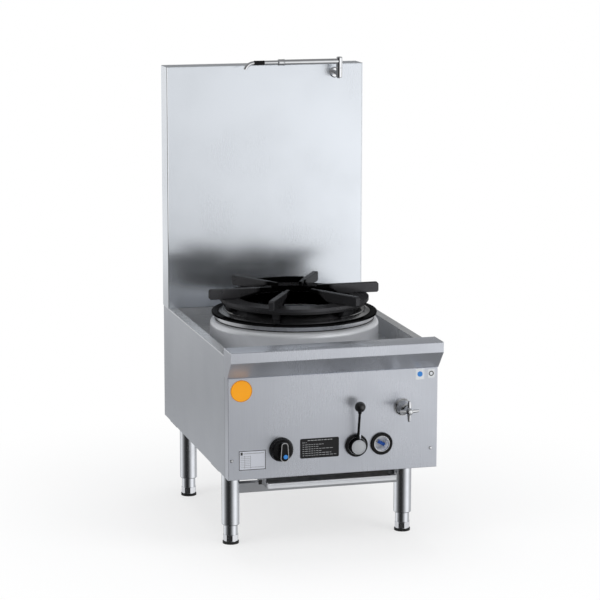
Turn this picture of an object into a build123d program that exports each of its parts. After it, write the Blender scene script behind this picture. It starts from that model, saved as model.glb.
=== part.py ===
from build123d import *
import os
from math import cos, hypot, radians, sin

# Gas stockpot range on four legs, in millimetres.
# While it is drawn, X runs to the right from the middle, Y runs back from the front of the control
# panel, and Z runs up from the floor. save() then moves each piece so that the origin lies on the
# floor under the middle of the whole range.

# Body
BODY_HALF = 298.0
BODY_DEPTH = 806.0
BODY_BOTTOM = 223.0
BODY_TOP = 563.0
SHEET = 1.5
HEAVY_SHEET = 2.0

# Control panel and front rail
PANEL_TOP = 506.0
RETURN_DEPTH = 37.0
RAIL_HALF = 300.0
RAIL_FRONT = -43.0
RAIL_NOSE_BOTTOM = 556.0
RAIL_TOP = 585.0

# Sunken deck and splashback
WELL_HALF = 272.0
WELL_FLOOR = 512.0
DECK_HOLE_RADIUS = 215.0
SPLASH_FRONT = 731.0
SPLASH_TOP = 1282.0

# Burner rings, which share one upright axis
BURNER_Y = 411.0
COLLAR_RADIUS = 243.0
COLLAR_SHOULDER = 17.0
COLLAR_TOP = 585.0
COLLAR_MOUTH = 205.0
LIP_TOP = 600.0
LOWER_RING_RADIUS = 238.5

# Trivet
TRIVET_TOP = 676.0
ARM_COUNT = 6
ARM_TIP_RADIUS = 252.0
ARM_THICKNESS = 16.0
TRIVET_RING_INNER = 160.0
TRIVET_RING_OUTER = 214.5
TRIVET_RING_LOW = 630.0
TRIVET_RING_HIGH = 647.0
TRIVET_WALLS = [(66.8, 120.0, 666.0)]

# Controls on the panel, as places across and up
KNOB_AT = (-149.6, 302.0)
LEVER_AT = (63.8, 300.0)
SIGHT_AT = (136.4, 300.0)
TAP_AT = (197.4, 400.0)
PANEL_SCREWS_AT = [(-288.1, 278.0), (279.4, 278.0)]
TAP_REACH = 70.0
TAP_SPINDLE_RADIUS = 5.0
KNOB_STEM_RADIUS = 4.0
LEVER_SHAFT_RADIUS = 8.0
LEVER_HUB_RADIUS = 21.0
LEVER_ROD_START = (LEVER_AT[0], -15.0, 303.0)
LEVER_BALL_AT = (LEVER_AT[0], -37.0, 415.5)
LEVER_BALL_RADIUS = 15.0
SIGHT_TUBE_RADIUS = 22.0
SIGHT_BORE_RADIUS = 20.8
SIGHT_TUBE_LENGTH = 60.0

# Pot filler on the splashback
FAUCET_X = 212.0
FAUCET_Y = 681.0
STUB_Z = 1256.0
ARM_Z = 1293.0
FAUCET_JOINT_Z = 1274.0
FAUCET_TOP = 1304.0
FAUCET_RADIUS = 9.3
FAUCET_PIVOT_RADIUS = 5.0
ARM_COLLAR_X = 42.4
SLEEVE_X = -17.6
SPOUT_BEND_X = -48.6
END_TUBE_RADIUS = 6.35
SPOUT_RADIUS = 5.4

# Legs and drip tray
LEG_X = 251.8
LEG_YS = {"front": 162.6, "rear": 688.8}
LEG_RADIUS = 25.4
LEG_BOTTOM = 54.0
TRAY_HALF = 183.5
TRAY_BOTTOM = 191.0
TRAY_TOP = 205.0

# Supply ends at the back
INLET_REACH = 24.0
GAS_INLET_X = -220.0
GAS_LINE_Z = 300.0
WATER_LINE_Z = 270.0
GAS_PIPE_RADIUS = 13.5
WATER_PIPE_RADIUS = 7.5
WATER_PIPE_BORE = 6.0
GAS_THREAD_RADIUS = 16.6
WATER_THREAD_RADIUS = 10.5

# Gas line behind the panel and the mixing tube of the burner
GAS_LINE_Y = 80.0
COCK_INLET_X = 30.0
INJECTOR_Z = 455.0
INJECTOR_Y = 150.0
MIXING_MOUTH_Y = 181.0

# Running clearance of a shaft in its bore
FIT = 0.05

SHIFT_Y = -(BODY_DEPTH + INLET_REACH - TAP_REACH) / 2


def block(x_limits, y_limits, z_limits):
    """A box between two limits along each axis."""
    limits = (x_limits, y_limits, z_limits)
    sizes = [high - low for low, high in limits]
    middles = [(high + low) / 2 for low, high in limits]
    return Pos(*middles) * Box(*sizes)


def both_sides(right_piece):
    """A right-hand piece together with its mirror image on the left."""
    return right_piece + mirror(right_piece, about=Plane.YZ)


def face_of(outline):
    """A flat face inside a closed outline of points."""
    return make_face(Polyline(*outline, close=True))


def along_x(section, low, high):
    """Extrude a section of (y, z) points, or a face drawn in them, from one x to another."""
    return extrude(Plane.YZ.offset(low) * as_face(section), amount=high - low, dir=(1, 0, 0))


def along_y(section, low, high):
    """Extrude a section of (x, z) points, or a face drawn in them, from one y to another."""
    return extrude(Plane.XZ.offset(-low) * as_face(section), amount=high - low, dir=(0, 1, 0))


def as_face(section):
    """A section as a face, whether it comes as a list of points or as a face already."""
    return face_of(section) if isinstance(section, list) else section


def bent_sheet(path, thickness, fold=0.8):
    """Section of a sheet bent along a path of points, which it lies on the left of.

    Each bend is round, with the fold radius inside and one thickness more outside.
    """
    normals = []
    for (x0, y0), (x1, y1) in zip(path, path[1:]):
        length = hypot(x1 - x0, y1 - y0)
        normals.append(((y0 - y1) / length, (x1 - x0) / length))
    left_side = []
    for index, (x, y) in enumerate(path):
        before = normals[max(index - 1, 0)]
        after = normals[min(index, len(normals) - 1)]
        share = thickness / (1 + before[0] * after[0] + before[1] * after[1])
        left_side.append((x + share * (before[0] + after[0]), y + share * (before[1] + after[1])))
    section = face_of(path + left_side[::-1])
    for index in range(1, len(path) - 1):
        before, after = normals[index - 1], normals[index]
        turns_left = before[0] * after[1] - before[1] * after[0] > 0
        outside, inside = path[index], left_side[index]
        if not turns_left:
            outside, inside = inside, outside
        section = fillet(corner_at(section, outside), fold + thickness)
        section = fillet(corner_at(section, inside), fold)
    return section


def corner_at(section, point):
    """The corner of a flat section that lies on a point."""
    return section.vertices().sort_by_distance((*point, 0))[0]


def turned_up(profile, x=0.0, y=0.0):
    """Turn a profile of (radius, height) points about an upright axis."""
    return Pos(x, y, 0) * revolve(Plane.XZ * face_of(profile), Axis.Z)


def turned_out(profile, place):
    """Turn a profile of (radius, reach) points about an axis square to the panel.

    A positive reach stands out in front of the panel, and a negative one lies behind it.
    """
    x, z = place
    return Pos(x, 0, z) * Rot(90, 0, 0) * revolve(Plane.XZ * face_of(profile), Axis.Z)


def spindle(place, radius, front, back):
    """A solid round bar square to the panel, between two reaches."""
    return turned_out([(0, front), (radius, front), (radius, back), (0, back)], place)


def round_bar(start, end, radius):
    """A solid round bar between two points."""
    axis = Vector(*end) - Vector(*start)
    bar = Cylinder(radius, axis.length, align=(Align.CENTER, Align.CENTER, Align.MIN))
    return Plane(origin=start, z_dir=axis) * bar


def upright(x, y, radius, low, high):
    """A solid upright cylinder between two heights."""
    return round_bar((x, y, low), (x, y, high), radius)


def bent_pipe(route, bend, outer, inner):
    """A pipe along straight runs with round bends."""
    path = FilletPolyline(*route, radius=bend)
    ring = Circle(outer) - Circle(inner)
    return sweep(Plane(origin=path @ 0, z_dir=path % 0) * ring, path=path)


def side_panel():
    """Right-hand outer side, with inward flanges at its top, front and back."""
    wall = BODY_HALF - SHEET
    flange_reach = 22.0
    top = BODY_TOP - SHEET
    sheet = block((wall, BODY_HALF), (RETURN_DEPTH, BODY_DEPTH), (BODY_BOTTOM, top))
    top_flange = block((WELL_HALF + 3, wall), (RETURN_DEPTH, BODY_DEPTH - SHEET), (top - SHEET, top))
    flange_x = (wall - flange_reach, wall)
    flange_z = (260.0, 505.0)
    front_flange = block(flange_x, (RETURN_DEPTH, RETURN_DEPTH + SHEET), flange_z)
    rear_flange = block(flange_x, (BODY_DEPTH - 2 * SHEET, BODY_DEPTH - SHEET), flange_z)
    return sheet + top_flange + front_flange + rear_flange


def control_panel():
    """Front sheet with side returns, a bottom flange and the holes for the controls."""
    inner = BODY_HALF - SHEET
    flange_depth = 26.0
    front = block((-BODY_HALF, BODY_HALF), (0, SHEET), (BODY_BOTTOM, PANEL_TOP))
    side_return = block((inner, BODY_HALF), (SHEET, RETURN_DEPTH), (BODY_BOTTOM, PANEL_TOP))
    bottom = block((-inner, inner), (SHEET, flange_depth), (BODY_BOTTOM, BODY_BOTTOM + SHEET))
    panel = front + both_sides(side_return) + bottom
    holes = [(KNOB_AT, 8.0), (LEVER_AT, 12.0), (SIGHT_AT, SIGHT_TUBE_RADIUS), (TAP_AT, 11.0)]
    holes += [(place, 2.25) for place in PANEL_SCREWS_AT]
    for place, radius in holes:
        panel -= spindle(place, radius, 5, -5)
    front_corners = panel.edges().filter_by(Axis.Z).group_by(Axis.Y)[0]
    front_foot = panel.edges().filter_by(Axis.X).group_by(Axis.Z)[0].sort_by(Axis.Y)[0]
    return fillet(front_corners + [front_foot], 1.4)


def front_rail():
    """Overhanging front rail, bent from one sheet and closed by a cheek at each end."""
    path = [
        (RETURN_DEPTH, 553.0),
        (RETURN_DEPTH, RAIL_TOP),
        (RAIL_FRONT, RAIL_TOP),
        (RAIL_FRONT, RAIL_NOSE_BOTTOM),
        (SHEET, PANEL_TOP),
        (SHEET, 478.0),
    ]
    rail = along_x(bent_sheet(path, HEAVY_SHEET), -BODY_HALF, BODY_HALF)
    notch = block((BODY_HALF - 1.6, BODY_HALF), (0, 5), (470, PANEL_TOP))
    cheek_outline = path[1:5] + [(RETURN_DEPTH, PANEL_TOP)]
    cheek = along_x(cheek_outline, BODY_HALF, RAIL_HALF)
    return rail - both_sides(notch) + both_sides(cheek)


def hob_deck():
    """Sunken deck: a tray with a burner hole, side flanges and a rear shelf."""
    wall = WELL_HALF + SHEET
    well_back = SPLASH_FRONT + SHEET
    front_wall_top = 580.0
    flange_back = BODY_DEPTH - SHEET
    low = WELL_FLOOR - SHEET
    flange = block((-BODY_HALF, BODY_HALF), (RETURN_DEPTH, flange_back), (BODY_TOP - SHEET, BODY_TOP))
    outer = block((-wall, wall), (RETURN_DEPTH, well_back), (low, BODY_TOP))
    well_front = RETURN_DEPTH + SHEET
    inner = block((-WELL_HALF, WELL_HALF), (well_front, SPLASH_FRONT), (WELL_FLOOR, BODY_TOP + 1))
    front_wall = block((-wall, wall), (RETURN_DEPTH, well_front), (BODY_TOP, front_wall_top))
    deck = flange + outer + front_wall - inner
    deck -= upright(0, BURNER_Y, DECK_HOLE_RADIUS, low - 1, WELL_FLOOR + 1)
    deck -= upright(FAUCET_X, 768.0, 9.0, BODY_TOP - 5, BODY_TOP + 5)
    long_edges = deck.edges().filter_by(Axis.Y).filter_by_position(Axis.Z, BODY_TOP - 0.1, BODY_TOP + 0.1)
    return fillet(long_edges.group_by(Axis.X)[0] + long_edges.group_by(Axis.X)[-1], 1.3)


def burner_collar():
    """Pressed collar round the burner, with a round shoulder and a flat foot on the deck."""
    outer = upright(0, BURNER_Y, COLLAR_RADIUS, WELL_FLOOR, COLLAR_TOP)
    outer = fillet(outer.edges().sort_by(Axis.Z)[-1], COLLAR_SHOULDER)
    bore_radius = COLLAR_RADIUS - HEAVY_SHEET
    bore = upright(0, BURNER_Y, bore_radius, WELL_FLOOR + HEAVY_SHEET, COLLAR_TOP - HEAVY_SHEET)
    bore = fillet(bore.edges().sort_by(Axis.Z)[-1], COLLAR_SHOULDER - HEAVY_SHEET)
    foot_hole = upright(0, BURNER_Y, 226.0, WELL_FLOOR - 1, WELL_FLOOR + 5)
    mouth = upright(0, BURNER_Y, COLLAR_MOUTH, COLLAR_TOP - 5, COLLAR_TOP + 1)
    return outer - bore - foot_hole - mouth


def lip_ring():
    """Satin ring on the collar that carries the enamelled ring, with a shadow gap under its edge."""
    gap_top = COLLAR_TOP + 2.5
    profile = [
        (208.0, COLLAR_TOP),
        (223.5, COLLAR_TOP),
        (223.5, gap_top),
        (228.5, gap_top),
        (228.5, LIP_TOP),
        (208.0, LIP_TOP),
    ]
    return turned_up(profile, 0, BURNER_Y)


def lower_ring():
    """Enamelled ring with a flat rim, two grooves, a raised inner edge and four locating lugs."""
    profile = [
        (LOWER_RING_RADIUS, LIP_TOP),
        (LOWER_RING_RADIUS, 604.0),
        (LOWER_RING_RADIUS - 1.0, 605.0),
        (221.0, 605.0),
        (220.0, 603.5),
        (218.0, 605.5),
        (206.0, 612.5),
        (204.0, 612.5),
        (203.0, 611.0),
        (201.0, 613.0),
        (178.0, 628.0),
        (175.5, 626.5),
        (175.5, 623.0),
        (198.0, 607.5),
        (207.0, LIP_TOP),
    ]
    ring = turned_up(profile)
    lug_inner = 200.0
    lug_outer = 206.5
    lug_half = 10.0
    lug = block((lug_inner, lug_outer), (-lug_half, lug_half), (592.0, 607.0))
    lug &= turned_up([(0, 590), (lug_outer, 590), (lug_outer, 610), (0, 610)])
    for quarter in range(4):
        ring += Rot(0, 0, 90 * quarter) * lug
    return Pos(0, BURNER_Y, 0) * ring


def rounded_sides(plate, radius):
    """Round every edge of the two faces of an upright plate that lies along X."""
    faces = plate.faces().sort_by(Axis.Y)
    return fillet(faces[0].edges() + faces[-1].edges(), radius)


def trivet_arm():
    """One radial arm along +X from the burner axis, with its foot, before it is turned into place."""
    half = ARM_THICKNESS / 2
    lug_half = 5.0
    lug_radius = 100.0
    blade = [
        (lug_radius, TRIVET_TOP - 11),
        (lug_radius, TRIVET_TOP),
        (ARM_TIP_RADIUS - 4, TRIVET_TOP),
        (ARM_TIP_RADIUS, TRIVET_TOP - 5),
        (ARM_TIP_RADIUS, TRIVET_RING_HIGH + 4),
        (ARM_TIP_RADIUS - 4, TRIVET_RING_HIGH),
        (175.0, TRIVET_RING_HIGH),
        (172.0, 642.0),
        (152.0, 642.0),
        (128.0, 652.0),
        (110.0, TRIVET_TOP - 12),
    ]
    arm = rounded_sides(along_y(blade, -half, half), 1.8)
    lug = block((68.0, lug_radius + 3), (-lug_half, lug_half), (TRIVET_TOP - 11, TRIVET_TOP))
    lug = fillet(lug.edges().filter_by(Axis.X) + lug.edges().group_by(Axis.X)[0], 1.8)
    foot_half = 10.0
    foot = along_y(
        [(188.0, TRIVET_RING_LOW), (192.0, 619.3), (200.5, 613.8), (208.0, TRIVET_RING_LOW)],
        -foot_half,
        foot_half,
    )
    return arm + lug + foot


def trivet_wall(start, end, wall_top):
    """One raised wall on the ring between two turns about the burner axis, in degrees from +X."""
    inner = 203.0
    outer = TRIVET_RING_OUTER - 0.5
    profile = [
        (inner, TRIVET_RING_HIGH - 2),
        (outer, TRIVET_RING_HIGH - 2),
        (outer, wall_top - 1),
        (outer - 2, wall_top),
        (inner + 2, wall_top),
        (inner, wall_top - 1),
    ]
    return Rot(0, 0, start) * revolve(Plane.XZ * face_of(profile), Axis.Z, end - start)


def trivet():
    """Cast trivet: a flat ring with six arms, six feet and a raised wall between the two far arms."""
    ring_profile = [
        (TRIVET_RING_INNER, TRIVET_RING_LOW),
        (TRIVET_RING_OUTER - 6.5, TRIVET_RING_LOW),
        (TRIVET_RING_OUTER, 638.0),
        (TRIVET_RING_OUTER, TRIVET_RING_HIGH),
        (TRIVET_RING_INNER, TRIVET_RING_HIGH),
    ]
    casting = turned_up(ring_profile)
    for index in range(ARM_COUNT):
        casting += Rot(0, 0, 360 / ARM_COUNT * index) * trivet_arm()
    for start, end, wall_top in TRIVET_WALLS:
        casting += trivet_wall(start, end, wall_top)
    return Pos(0, BURNER_Y, 0) * casting


def rear_panel():
    """Back sheet of the body, with the holes for the two supplies."""
    inner = BODY_HALF - SHEET
    sheet = block((-inner, inner), (BODY_DEPTH - SHEET, BODY_DEPTH), (BODY_BOTTOM, BODY_TOP - SHEET))
    gas_hole = ((GAS_INLET_X, GAS_LINE_Z), GAS_PIPE_RADIUS + 0.5)
    water_hole = ((TAP_AT[0], WATER_LINE_Z), WATER_PIPE_RADIUS + 0.5)
    for place, radius in (gas_hole, water_hole):
        sheet -= spindle(place, radius, -BODY_DEPTH + 5, -BODY_DEPTH - 5)
    return sheet


def base_frame():
    """Welded frame of angle section round the foot of the body, with two front corner posts."""
    outer = BODY_HALF - SHEET
    leg = 30.0
    steel = 3.0
    front = 27.0
    back = BODY_DEPTH - SHEET
    low = BODY_BOTTOM
    ring = block((-outer, outer), (front, back), (low, low + leg))
    web = outer - steel
    ring -= block((-web, web), (front + steel, back - steel), (low + steel, low + leg + 1))
    ring -= block((-outer + leg, outer - leg), (front + leg, back - leg), (low - 1, low + leg))
    post_z = (low + steel, 470.0)
    post = block((outer - 22, outer), (SHEET, SHEET + steel), post_z)
    post += block((outer - steel, outer), (SHEET, front + 9.5), post_z)
    frame = ring + both_sides(post)
    for place in PANEL_SCREWS_AT:
        frame -= spindle(place, 2.0, 5, -10)
    return frame


def leg_places():
    """Name and place of each leg."""
    places = []
    for end, y in LEG_YS.items():
        places.append((f"{end}_left", -LEG_X, y))
        places.append((f"{end}_right", LEG_X, y))
    return places


def leg_mount_plates():
    """Four plates under the frame, each with a spigot that fills the top of a leg."""
    half = 45.0
    plate_low = BODY_BOTTOM - 3.0
    spigot_low = 190.0
    bore = 19.0
    plates = []
    for _, x, y in leg_places():
        plate = block((x - half, x + half), (y - half, y + half), (plate_low, BODY_BOTTOM))
        plate += upright(x, y, LEG_RADIUS - SHEET, spigot_low, plate_low)
        plates.append(plate - upright(x, y, bore, spigot_low - 1, BODY_BOTTOM + 1))
    return plates[0] + plates[1:]


def leg_tube(x, y):
    """One leg: a round tube with a thick collar inside its lower end for the foot."""
    top = BODY_BOTTOM - 3.0
    collar_top = 104.0
    foot_bore = 20.6
    tube = upright(x, y, LEG_RADIUS, LEG_BOTTOM, top)
    tube = fillet(tube.edges().sort_by(Axis.Z)[0], 3.0)
    tube -= upright(x, y, LEG_RADIUS - SHEET, collar_top, top + 1)
    return tube - upright(x, y, foot_bore, LEG_BOTTOM - 1, collar_top + 1)


def levelling_foot(x, y):
    """One adjustable foot: a barrel with two spanner flats, and its wider base."""
    barrel_radius = 20.25
    flat_half = 18.0
    base_radius = 22.5
    base_top = 6.0
    barrel = upright(x, y, barrel_radius, base_top, 100.0)
    for side in (-1, 1):
        flat_middle = y + side * (flat_half + barrel_radius / 2)
        flat_limits = (flat_middle - barrel_radius / 2, flat_middle + barrel_radius / 2)
        barrel -= block((x - 30, x + 30), flat_limits, (12.0, 26.0))
    base = upright(x, y, base_radius, 0, base_top)
    base = chamfer(base.edges().sort_by(Axis.Z)[-1], 1.0)
    return Compound(children=[barrel.solid(), base.solid()])


def leg_crossbars():
    """Two square tubes that brace the front pair of legs and the rear pair."""
    half = 13.5
    wall = 1.5
    low = 145.0
    bars = []
    for y in LEG_YS.values():
        bar = block((-LEG_X, LEG_X), (y - half, y + half), (low, low + 2 * half))
        inner = half - wall
        bar -= block((-LEG_X, LEG_X), (y - inner, y + inner), (low + wall, low + 2 * half - wall))
        for x in (-LEG_X, LEG_X):
            bar -= upright(x, y, LEG_RADIUS, low - 1, low + 2 * half + 1)
        bars.append(bar)
    return bars[0] + bars[1:]


def tray_runners():
    """Two channels under the frame that carry the drip tray by its sides."""
    web = TRAY_HALF + 1.0
    reach_y = (27.0, BODY_DEPTH - SHEET)
    ledge_top = TRAY_BOTTOM - 0.3
    flange = block((web, web + 22), reach_y, (BODY_BOTTOM - SHEET, BODY_BOTTOM))
    upright_web = block((web, web + SHEET), reach_y, (ledge_top - SHEET, BODY_BOTTOM - SHEET))
    ledge = block((web - 14, web), reach_y, (ledge_top - SHEET, ledge_top))
    return both_sides(flange + upright_web + ledge)


def drip_tray():
    """Shallow pull-out tray with a rolled grip along its front edge."""
    sheet = 1.2
    front = 8.0
    back = 770.0
    grip = 4.0
    outer = block((-TRAY_HALF, TRAY_HALF), (front, back), (TRAY_BOTTOM, TRAY_TOP))
    inner_x = (-TRAY_HALF + sheet, TRAY_HALF - sheet)
    inner = block(inner_x, (front + sheet, back - sheet), (TRAY_BOTTOM + sheet, TRAY_TOP + 1))
    hem = block((-TRAY_HALF, TRAY_HALF), (front - grip, front), (TRAY_TOP - grip, TRAY_TOP))
    hem = fillet(hem.edges().filter_by(Axis.X).group_by(Axis.Y)[0], grip / 2 - 0.1)
    return outer - inner + hem


def splashback_back():
    """Rear box of the splashback: its back, sides, top and the lips that hold the front sheet."""
    inner = RAIL_HALF - SHEET
    back = BODY_DEPTH - SHEET
    foot_top = BODY_TOP + SHEET
    top = SPLASH_TOP - SHEET
    lip = 16.0
    lip_y = (SPLASH_FRONT + SHEET, SPLASH_FRONT + 2 * SHEET)
    side = block((inner, RAIL_HALF), (SPLASH_FRONT, BODY_DEPTH), (BODY_TOP, SPLASH_TOP))
    foot = block((inner - 30, inner), (lip_y[0], back), (BODY_TOP, foot_top))
    side_lip = block((inner - lip, inner), lip_y, (foot_top, top))
    box = both_sides(side + foot + side_lip)
    box += block((-inner, inner), (SPLASH_FRONT, BODY_DEPTH), (top, SPLASH_TOP))
    box += block((-inner, inner), (back, BODY_DEPTH), (BODY_TOP, top))
    box += block((-inner, inner), lip_y, (top - lip, top))
    top_edges = box.edges().filter_by_position(Axis.Z, SPLASH_TOP - 0.1, SPLASH_TOP + 0.1)
    posts = box.edges().filter_by(Axis.Z).filter_by(lambda edge: edge.length > 700)
    return fillet(top_edges + posts.group_by(Axis.X)[0] + posts.group_by(Axis.X)[-1], 1.2)


def splashback_front():
    """Front sheet of the splashback, set between the sides of its box."""
    half = RAIL_HALF - SHEET - 0.6
    front_y = (SPLASH_FRONT, SPLASH_FRONT + SHEET)
    sheet = block((-half, half), front_y, (BODY_TOP + SHEET, SPLASH_TOP - SHEET - 0.6))
    return sheet - spindle((FAUCET_X, STUB_Z), 7.0, -SPLASH_FRONT + 5, -SPLASH_FRONT - 5)


def panel_screws():
    """Two pan-head screws that hold the control panel to the corner posts."""
    profile = [(0, -9), (2, -9), (2, 0), (4.5, 0), (4.5, 1.4), (3.2, 2.4), (0, 2.6)]
    screws = []
    for place in PANEL_SCREWS_AT:
        screw = turned_out(profile, place)
        x, z = place
        screws.append(screw - block((x - 5, x + 5), (-3, -1.6), (z - 0.5, z + 0.5)))
    return screws[0] + screws[1:]


def panel_plate(x_limits, z_limits, corner, thickness):
    """A thin plate with round corners on the front of the control panel."""
    plate = block(x_limits, (-thickness, 0), z_limits)
    return fillet(plate.edges().filter_by(Axis.Y), corner)


def panel_stickers():
    """Two blank stickers at the panel's upper right corner."""
    film = 0.3
    square = panel_plate((234.0, 259.1), (474.0, 504.5), 1.0, film)
    rounded = panel_plate((269.4, 288.9), (477.0, 502.0), 3.0, film)
    return square + rounded


def inlet_nipple(place, radius, bore):
    """Threaded end of a supply pipe, just behind the back panel."""
    front = -BODY_DEPTH - 1
    back = -BODY_DEPTH - INLET_REACH
    return turned_out([(bore, front), (radius, front), (radius, back), (bore, back)], place)


def gas_manifold():
    """Main gas pipe from the back inlet to the main cock, behind the panel."""
    bore = 11.0
    route = [
        (GAS_INLET_X, BODY_DEPTH + INLET_REACH, GAS_LINE_Z),
        (GAS_INLET_X, GAS_LINE_Y, GAS_LINE_Z),
        (COCK_INLET_X, GAS_LINE_Y, GAS_LINE_Z),
    ]
    pipe = bent_pipe(route, 40.0, GAS_PIPE_RADIUS, bore)
    return pipe + inlet_nipple((GAS_INLET_X, GAS_LINE_Z), GAS_THREAD_RADIUS, bore)


def pilot_gas_valve():
    """Small valve behind the knob, seated on the main gas pipe."""
    bore = KNOB_STEM_RADIUS + FIT
    profile = [(bore, 0), (7.9, 0), (7.9, -14), (15, -14), (15, -68), (0, -68), (0, -30), (bore, -30)]
    valve = turned_out(profile, KNOB_AT)
    x, z = KNOB_AT
    valve += upright(x, 40.0, 7.0, z + 10, z + 20)
    pipe_start = (GAS_INLET_X, GAS_LINE_Y, GAS_LINE_Z)
    pipe_end = (COCK_INLET_X, GAS_LINE_Y, GAS_LINE_Z)
    return valve - round_bar(pipe_start, pipe_end, GAS_PIPE_RADIUS)


def pilot_burner():
    """Pilot tube from the small valve to its nozzle beside the burner head."""
    x, z = KNOB_AT
    nozzle_x = -79.0
    nozzle_y = 332.0
    tube_top = 548.0
    route = [
        (x, 40.0, z + 20),
        (x, 40.0, z + 43),
        (x, nozzle_y, z + 43),
        (nozzle_x, nozzle_y, z + 43),
        (nozzle_x, nozzle_y, tube_top),
    ]
    tube = bent_pipe(route, 14.0, 4.0, 3.0)
    nozzle_top = tube_top + 18
    nozzle_profile = [
        (3.0, tube_top),
        (6.5, tube_top),
        (6.5, nozzle_top - 4),
        (5.0, nozzle_top),
        (3.0, nozzle_top),
    ]
    return tube + turned_up(nozzle_profile, nozzle_x, nozzle_y)


def main_gas_cock():
    """Main cock behind the lever, with its inlet on the left and its outlet on top."""
    bore = LEVER_SHAFT_RADIUS + FIT
    bore_end = -62
    profile = [
        (bore, 0),
        (11.8, 0),
        (11.8, -16),
        (22, -16),
        (22, -104),
        (0, -104),
        (0, bore_end),
        (bore, bore_end),
    ]
    x, z = LEVER_AT
    inlet = round_bar((COCK_INLET_X, GAS_LINE_Y, z), (x, GAS_LINE_Y, z), 17.0)
    outlet = upright(x, GAS_LINE_Y, 12.0, z, z + 30)
    shaft_space = spindle(LEVER_AT, bore, 1, bore_end)
    return turned_out(profile, LEVER_AT) + inlet + outlet - shaft_space


def injector_pipe():
    """Pipe from the main cock up to the injector."""
    x, z = LEVER_AT
    route = [
        (x, GAS_LINE_Y, z + 30),
        (x, GAS_LINE_Y, INJECTOR_Z),
        (0, GAS_LINE_Y, INJECTOR_Z),
        (0, INJECTOR_Y, INJECTOR_Z),
    ]
    return bent_pipe(route, 28.0, 8.5, 6.5)


def injector():
    """Brass injector that points into the mouth of the mixing tube."""
    front = -INJECTOR_Y
    jet = 1.2
    profile = [
        (jet, front),
        (10.0, front),
        (10.0, front - 10),
        (7.0, front - 10),
        (7.0, front - 20),
        (3.0, front - 28),
        (jet, front - 28),
    ]
    return turned_out(profile, (0, INJECTOR_Z))


def burner_body():
    """Cast burner: an open bowl on a throat, with a mixing tube towards the front."""
    mouth = -MIXING_MOUTH_Y
    middle = -BURNER_Y
    bowl_profile = [(0, 424), (30, 424), (36, 430), (36, 480), (95, 540), (95, 560), (0, 560)]
    hollow_profile = [(0, 438), (28, 438), (28, 484), (87, 544), (87, 561), (0, 561)]
    tube_profile = [(0, mouth), (36, mouth), (28, mouth - 22), (28, middle), (0, middle)]
    bore_profile = [(0, mouth + 1), (31, mouth + 1), (22, mouth - 22), (22, middle), (0, middle)]
    casting = turned_up(bowl_profile, 0, BURNER_Y) + turned_out(tube_profile, (0, INJECTOR_Z))
    casting -= turned_up(hollow_profile, 0, BURNER_Y)
    return casting - turned_out(bore_profile, (0, INJECTOR_Z))


def burner_cap():
    """Cast burner cap with a row of flame ports round its rim."""
    port_count = 24
    profile = [
        (86, 560),
        (97, 560),
        (97, 567),
        (90, 574),
        (40, 579),
        (30, 577),
        (0, 577),
        (0, 571),
        (30, 571),
        (84, 567),
    ]
    cap = turned_up(profile)
    port = block((80, 100), (-2, 2), (561.5, 565.5))
    for index in range(port_count):
        cap -= Rot(0, 0, 360 / port_count * index) * port
    return Pos(0, BURNER_Y, 0) * cap


def burner_bracket():
    """Strap hung from the underside of the deck that carries the burner."""
    low = 421.0
    steel = 3.0
    top = WELL_FLOOR - SHEET - steel
    path = [(-255, top), (-235, top), (-235, low), (235, low), (235, top), (255, top)]
    return along_y(bent_sheet(path, steel), BURNER_Y - 20, BURNER_Y + 20)


def knob_grip_outline():
    """Outline of the knob's grip as seen from the front, wider and rounder at its lower end."""
    grip = face_of([(-12.5, -25.5), (12.5, -25.5), (8.6, 26.5), (-8.6, 26.5)])
    grip = fillet(grip.vertices().group_by(Axis.Y)[-1], 7.0)
    return fillet(grip.vertices().group_by(Axis.Y)[0], 11.0)


def knob_grip(shape, front, back):
    """Extrude a grip outline between two reaches in front of the panel."""
    x, z = KNOB_AT
    facing_out = Plane(origin=(x, -back, z), x_dir=(1, 0, 0), z_dir=(0, -1, 0))
    return extrude(facing_out * shape, amount=front - back, dir=(0, -1, 0))


def knob_body():
    """Round knob with a raised grip across it."""
    skirt = [(0, 5), (31, 5), (31, 14), (29, 18), (26, 20), (0, 22)]
    body = turned_out(skirt, KNOB_AT) + knob_grip(knob_grip_outline(), 40.0, 10.0)
    return body - spindle(KNOB_AT, KNOB_STEM_RADIUS + FIT, 34, 4)


def knob_trim():
    """Bright line round the front of the grip."""
    outline = knob_grip_outline()
    return knob_grip(outline - offset(outline, amount=-1.5), 40.8, 40.0)


def knob_shaft():
    """Round stem that carries the knob and works the small valve."""
    return spindle(KNOB_AT, KNOB_STEM_RADIUS, 33.0, -22.0)


def lever_bezel():
    """Black ring on the panel round the lever's hub."""
    profile = [(8.3, 0), (31.5, 0), (31.5, 7), (29.5, 9), (25, 9), (23.5, 8), (23.5, 3), (8.3, 3)]
    return turned_out(profile, LEVER_AT)


def lever_hub():
    """Satin hub of the lever with its shaft to the main cock."""
    hub = LEVER_HUB_RADIUS
    shaft = LEVER_SHAFT_RADIUS
    profile = [(0, 25), (hub - 1, 25), (hub, 24), (hub, 5), (shaft, 5), (shaft, -58), (0, -58)]
    return turned_out(profile, LEVER_AT)


def lever_rod():
    """Thin rod from the hub to the ball, leaning away from the panel."""
    rod = round_bar(LEVER_ROD_START, LEVER_BALL_AT, 3.5)
    hub = spindle(LEVER_AT, LEVER_HUB_RADIUS, 26, 4)
    return rod - hub - lever_ball()


def lever_ball():
    """Ball grip on the end of the lever."""
    return Pos(*LEVER_BALL_AT) * Sphere(LEVER_BALL_RADIUS)


def sight_bezel():
    """Black ring round the sight port."""
    bore = SIGHT_BORE_RADIUS
    profile = [(bore, 0), (31.3, 0), (31.3, 4.5), (29.5, 6), (22.5, 6), (bore, 4.5)]
    return turned_out(profile, SIGHT_AT)


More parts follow.
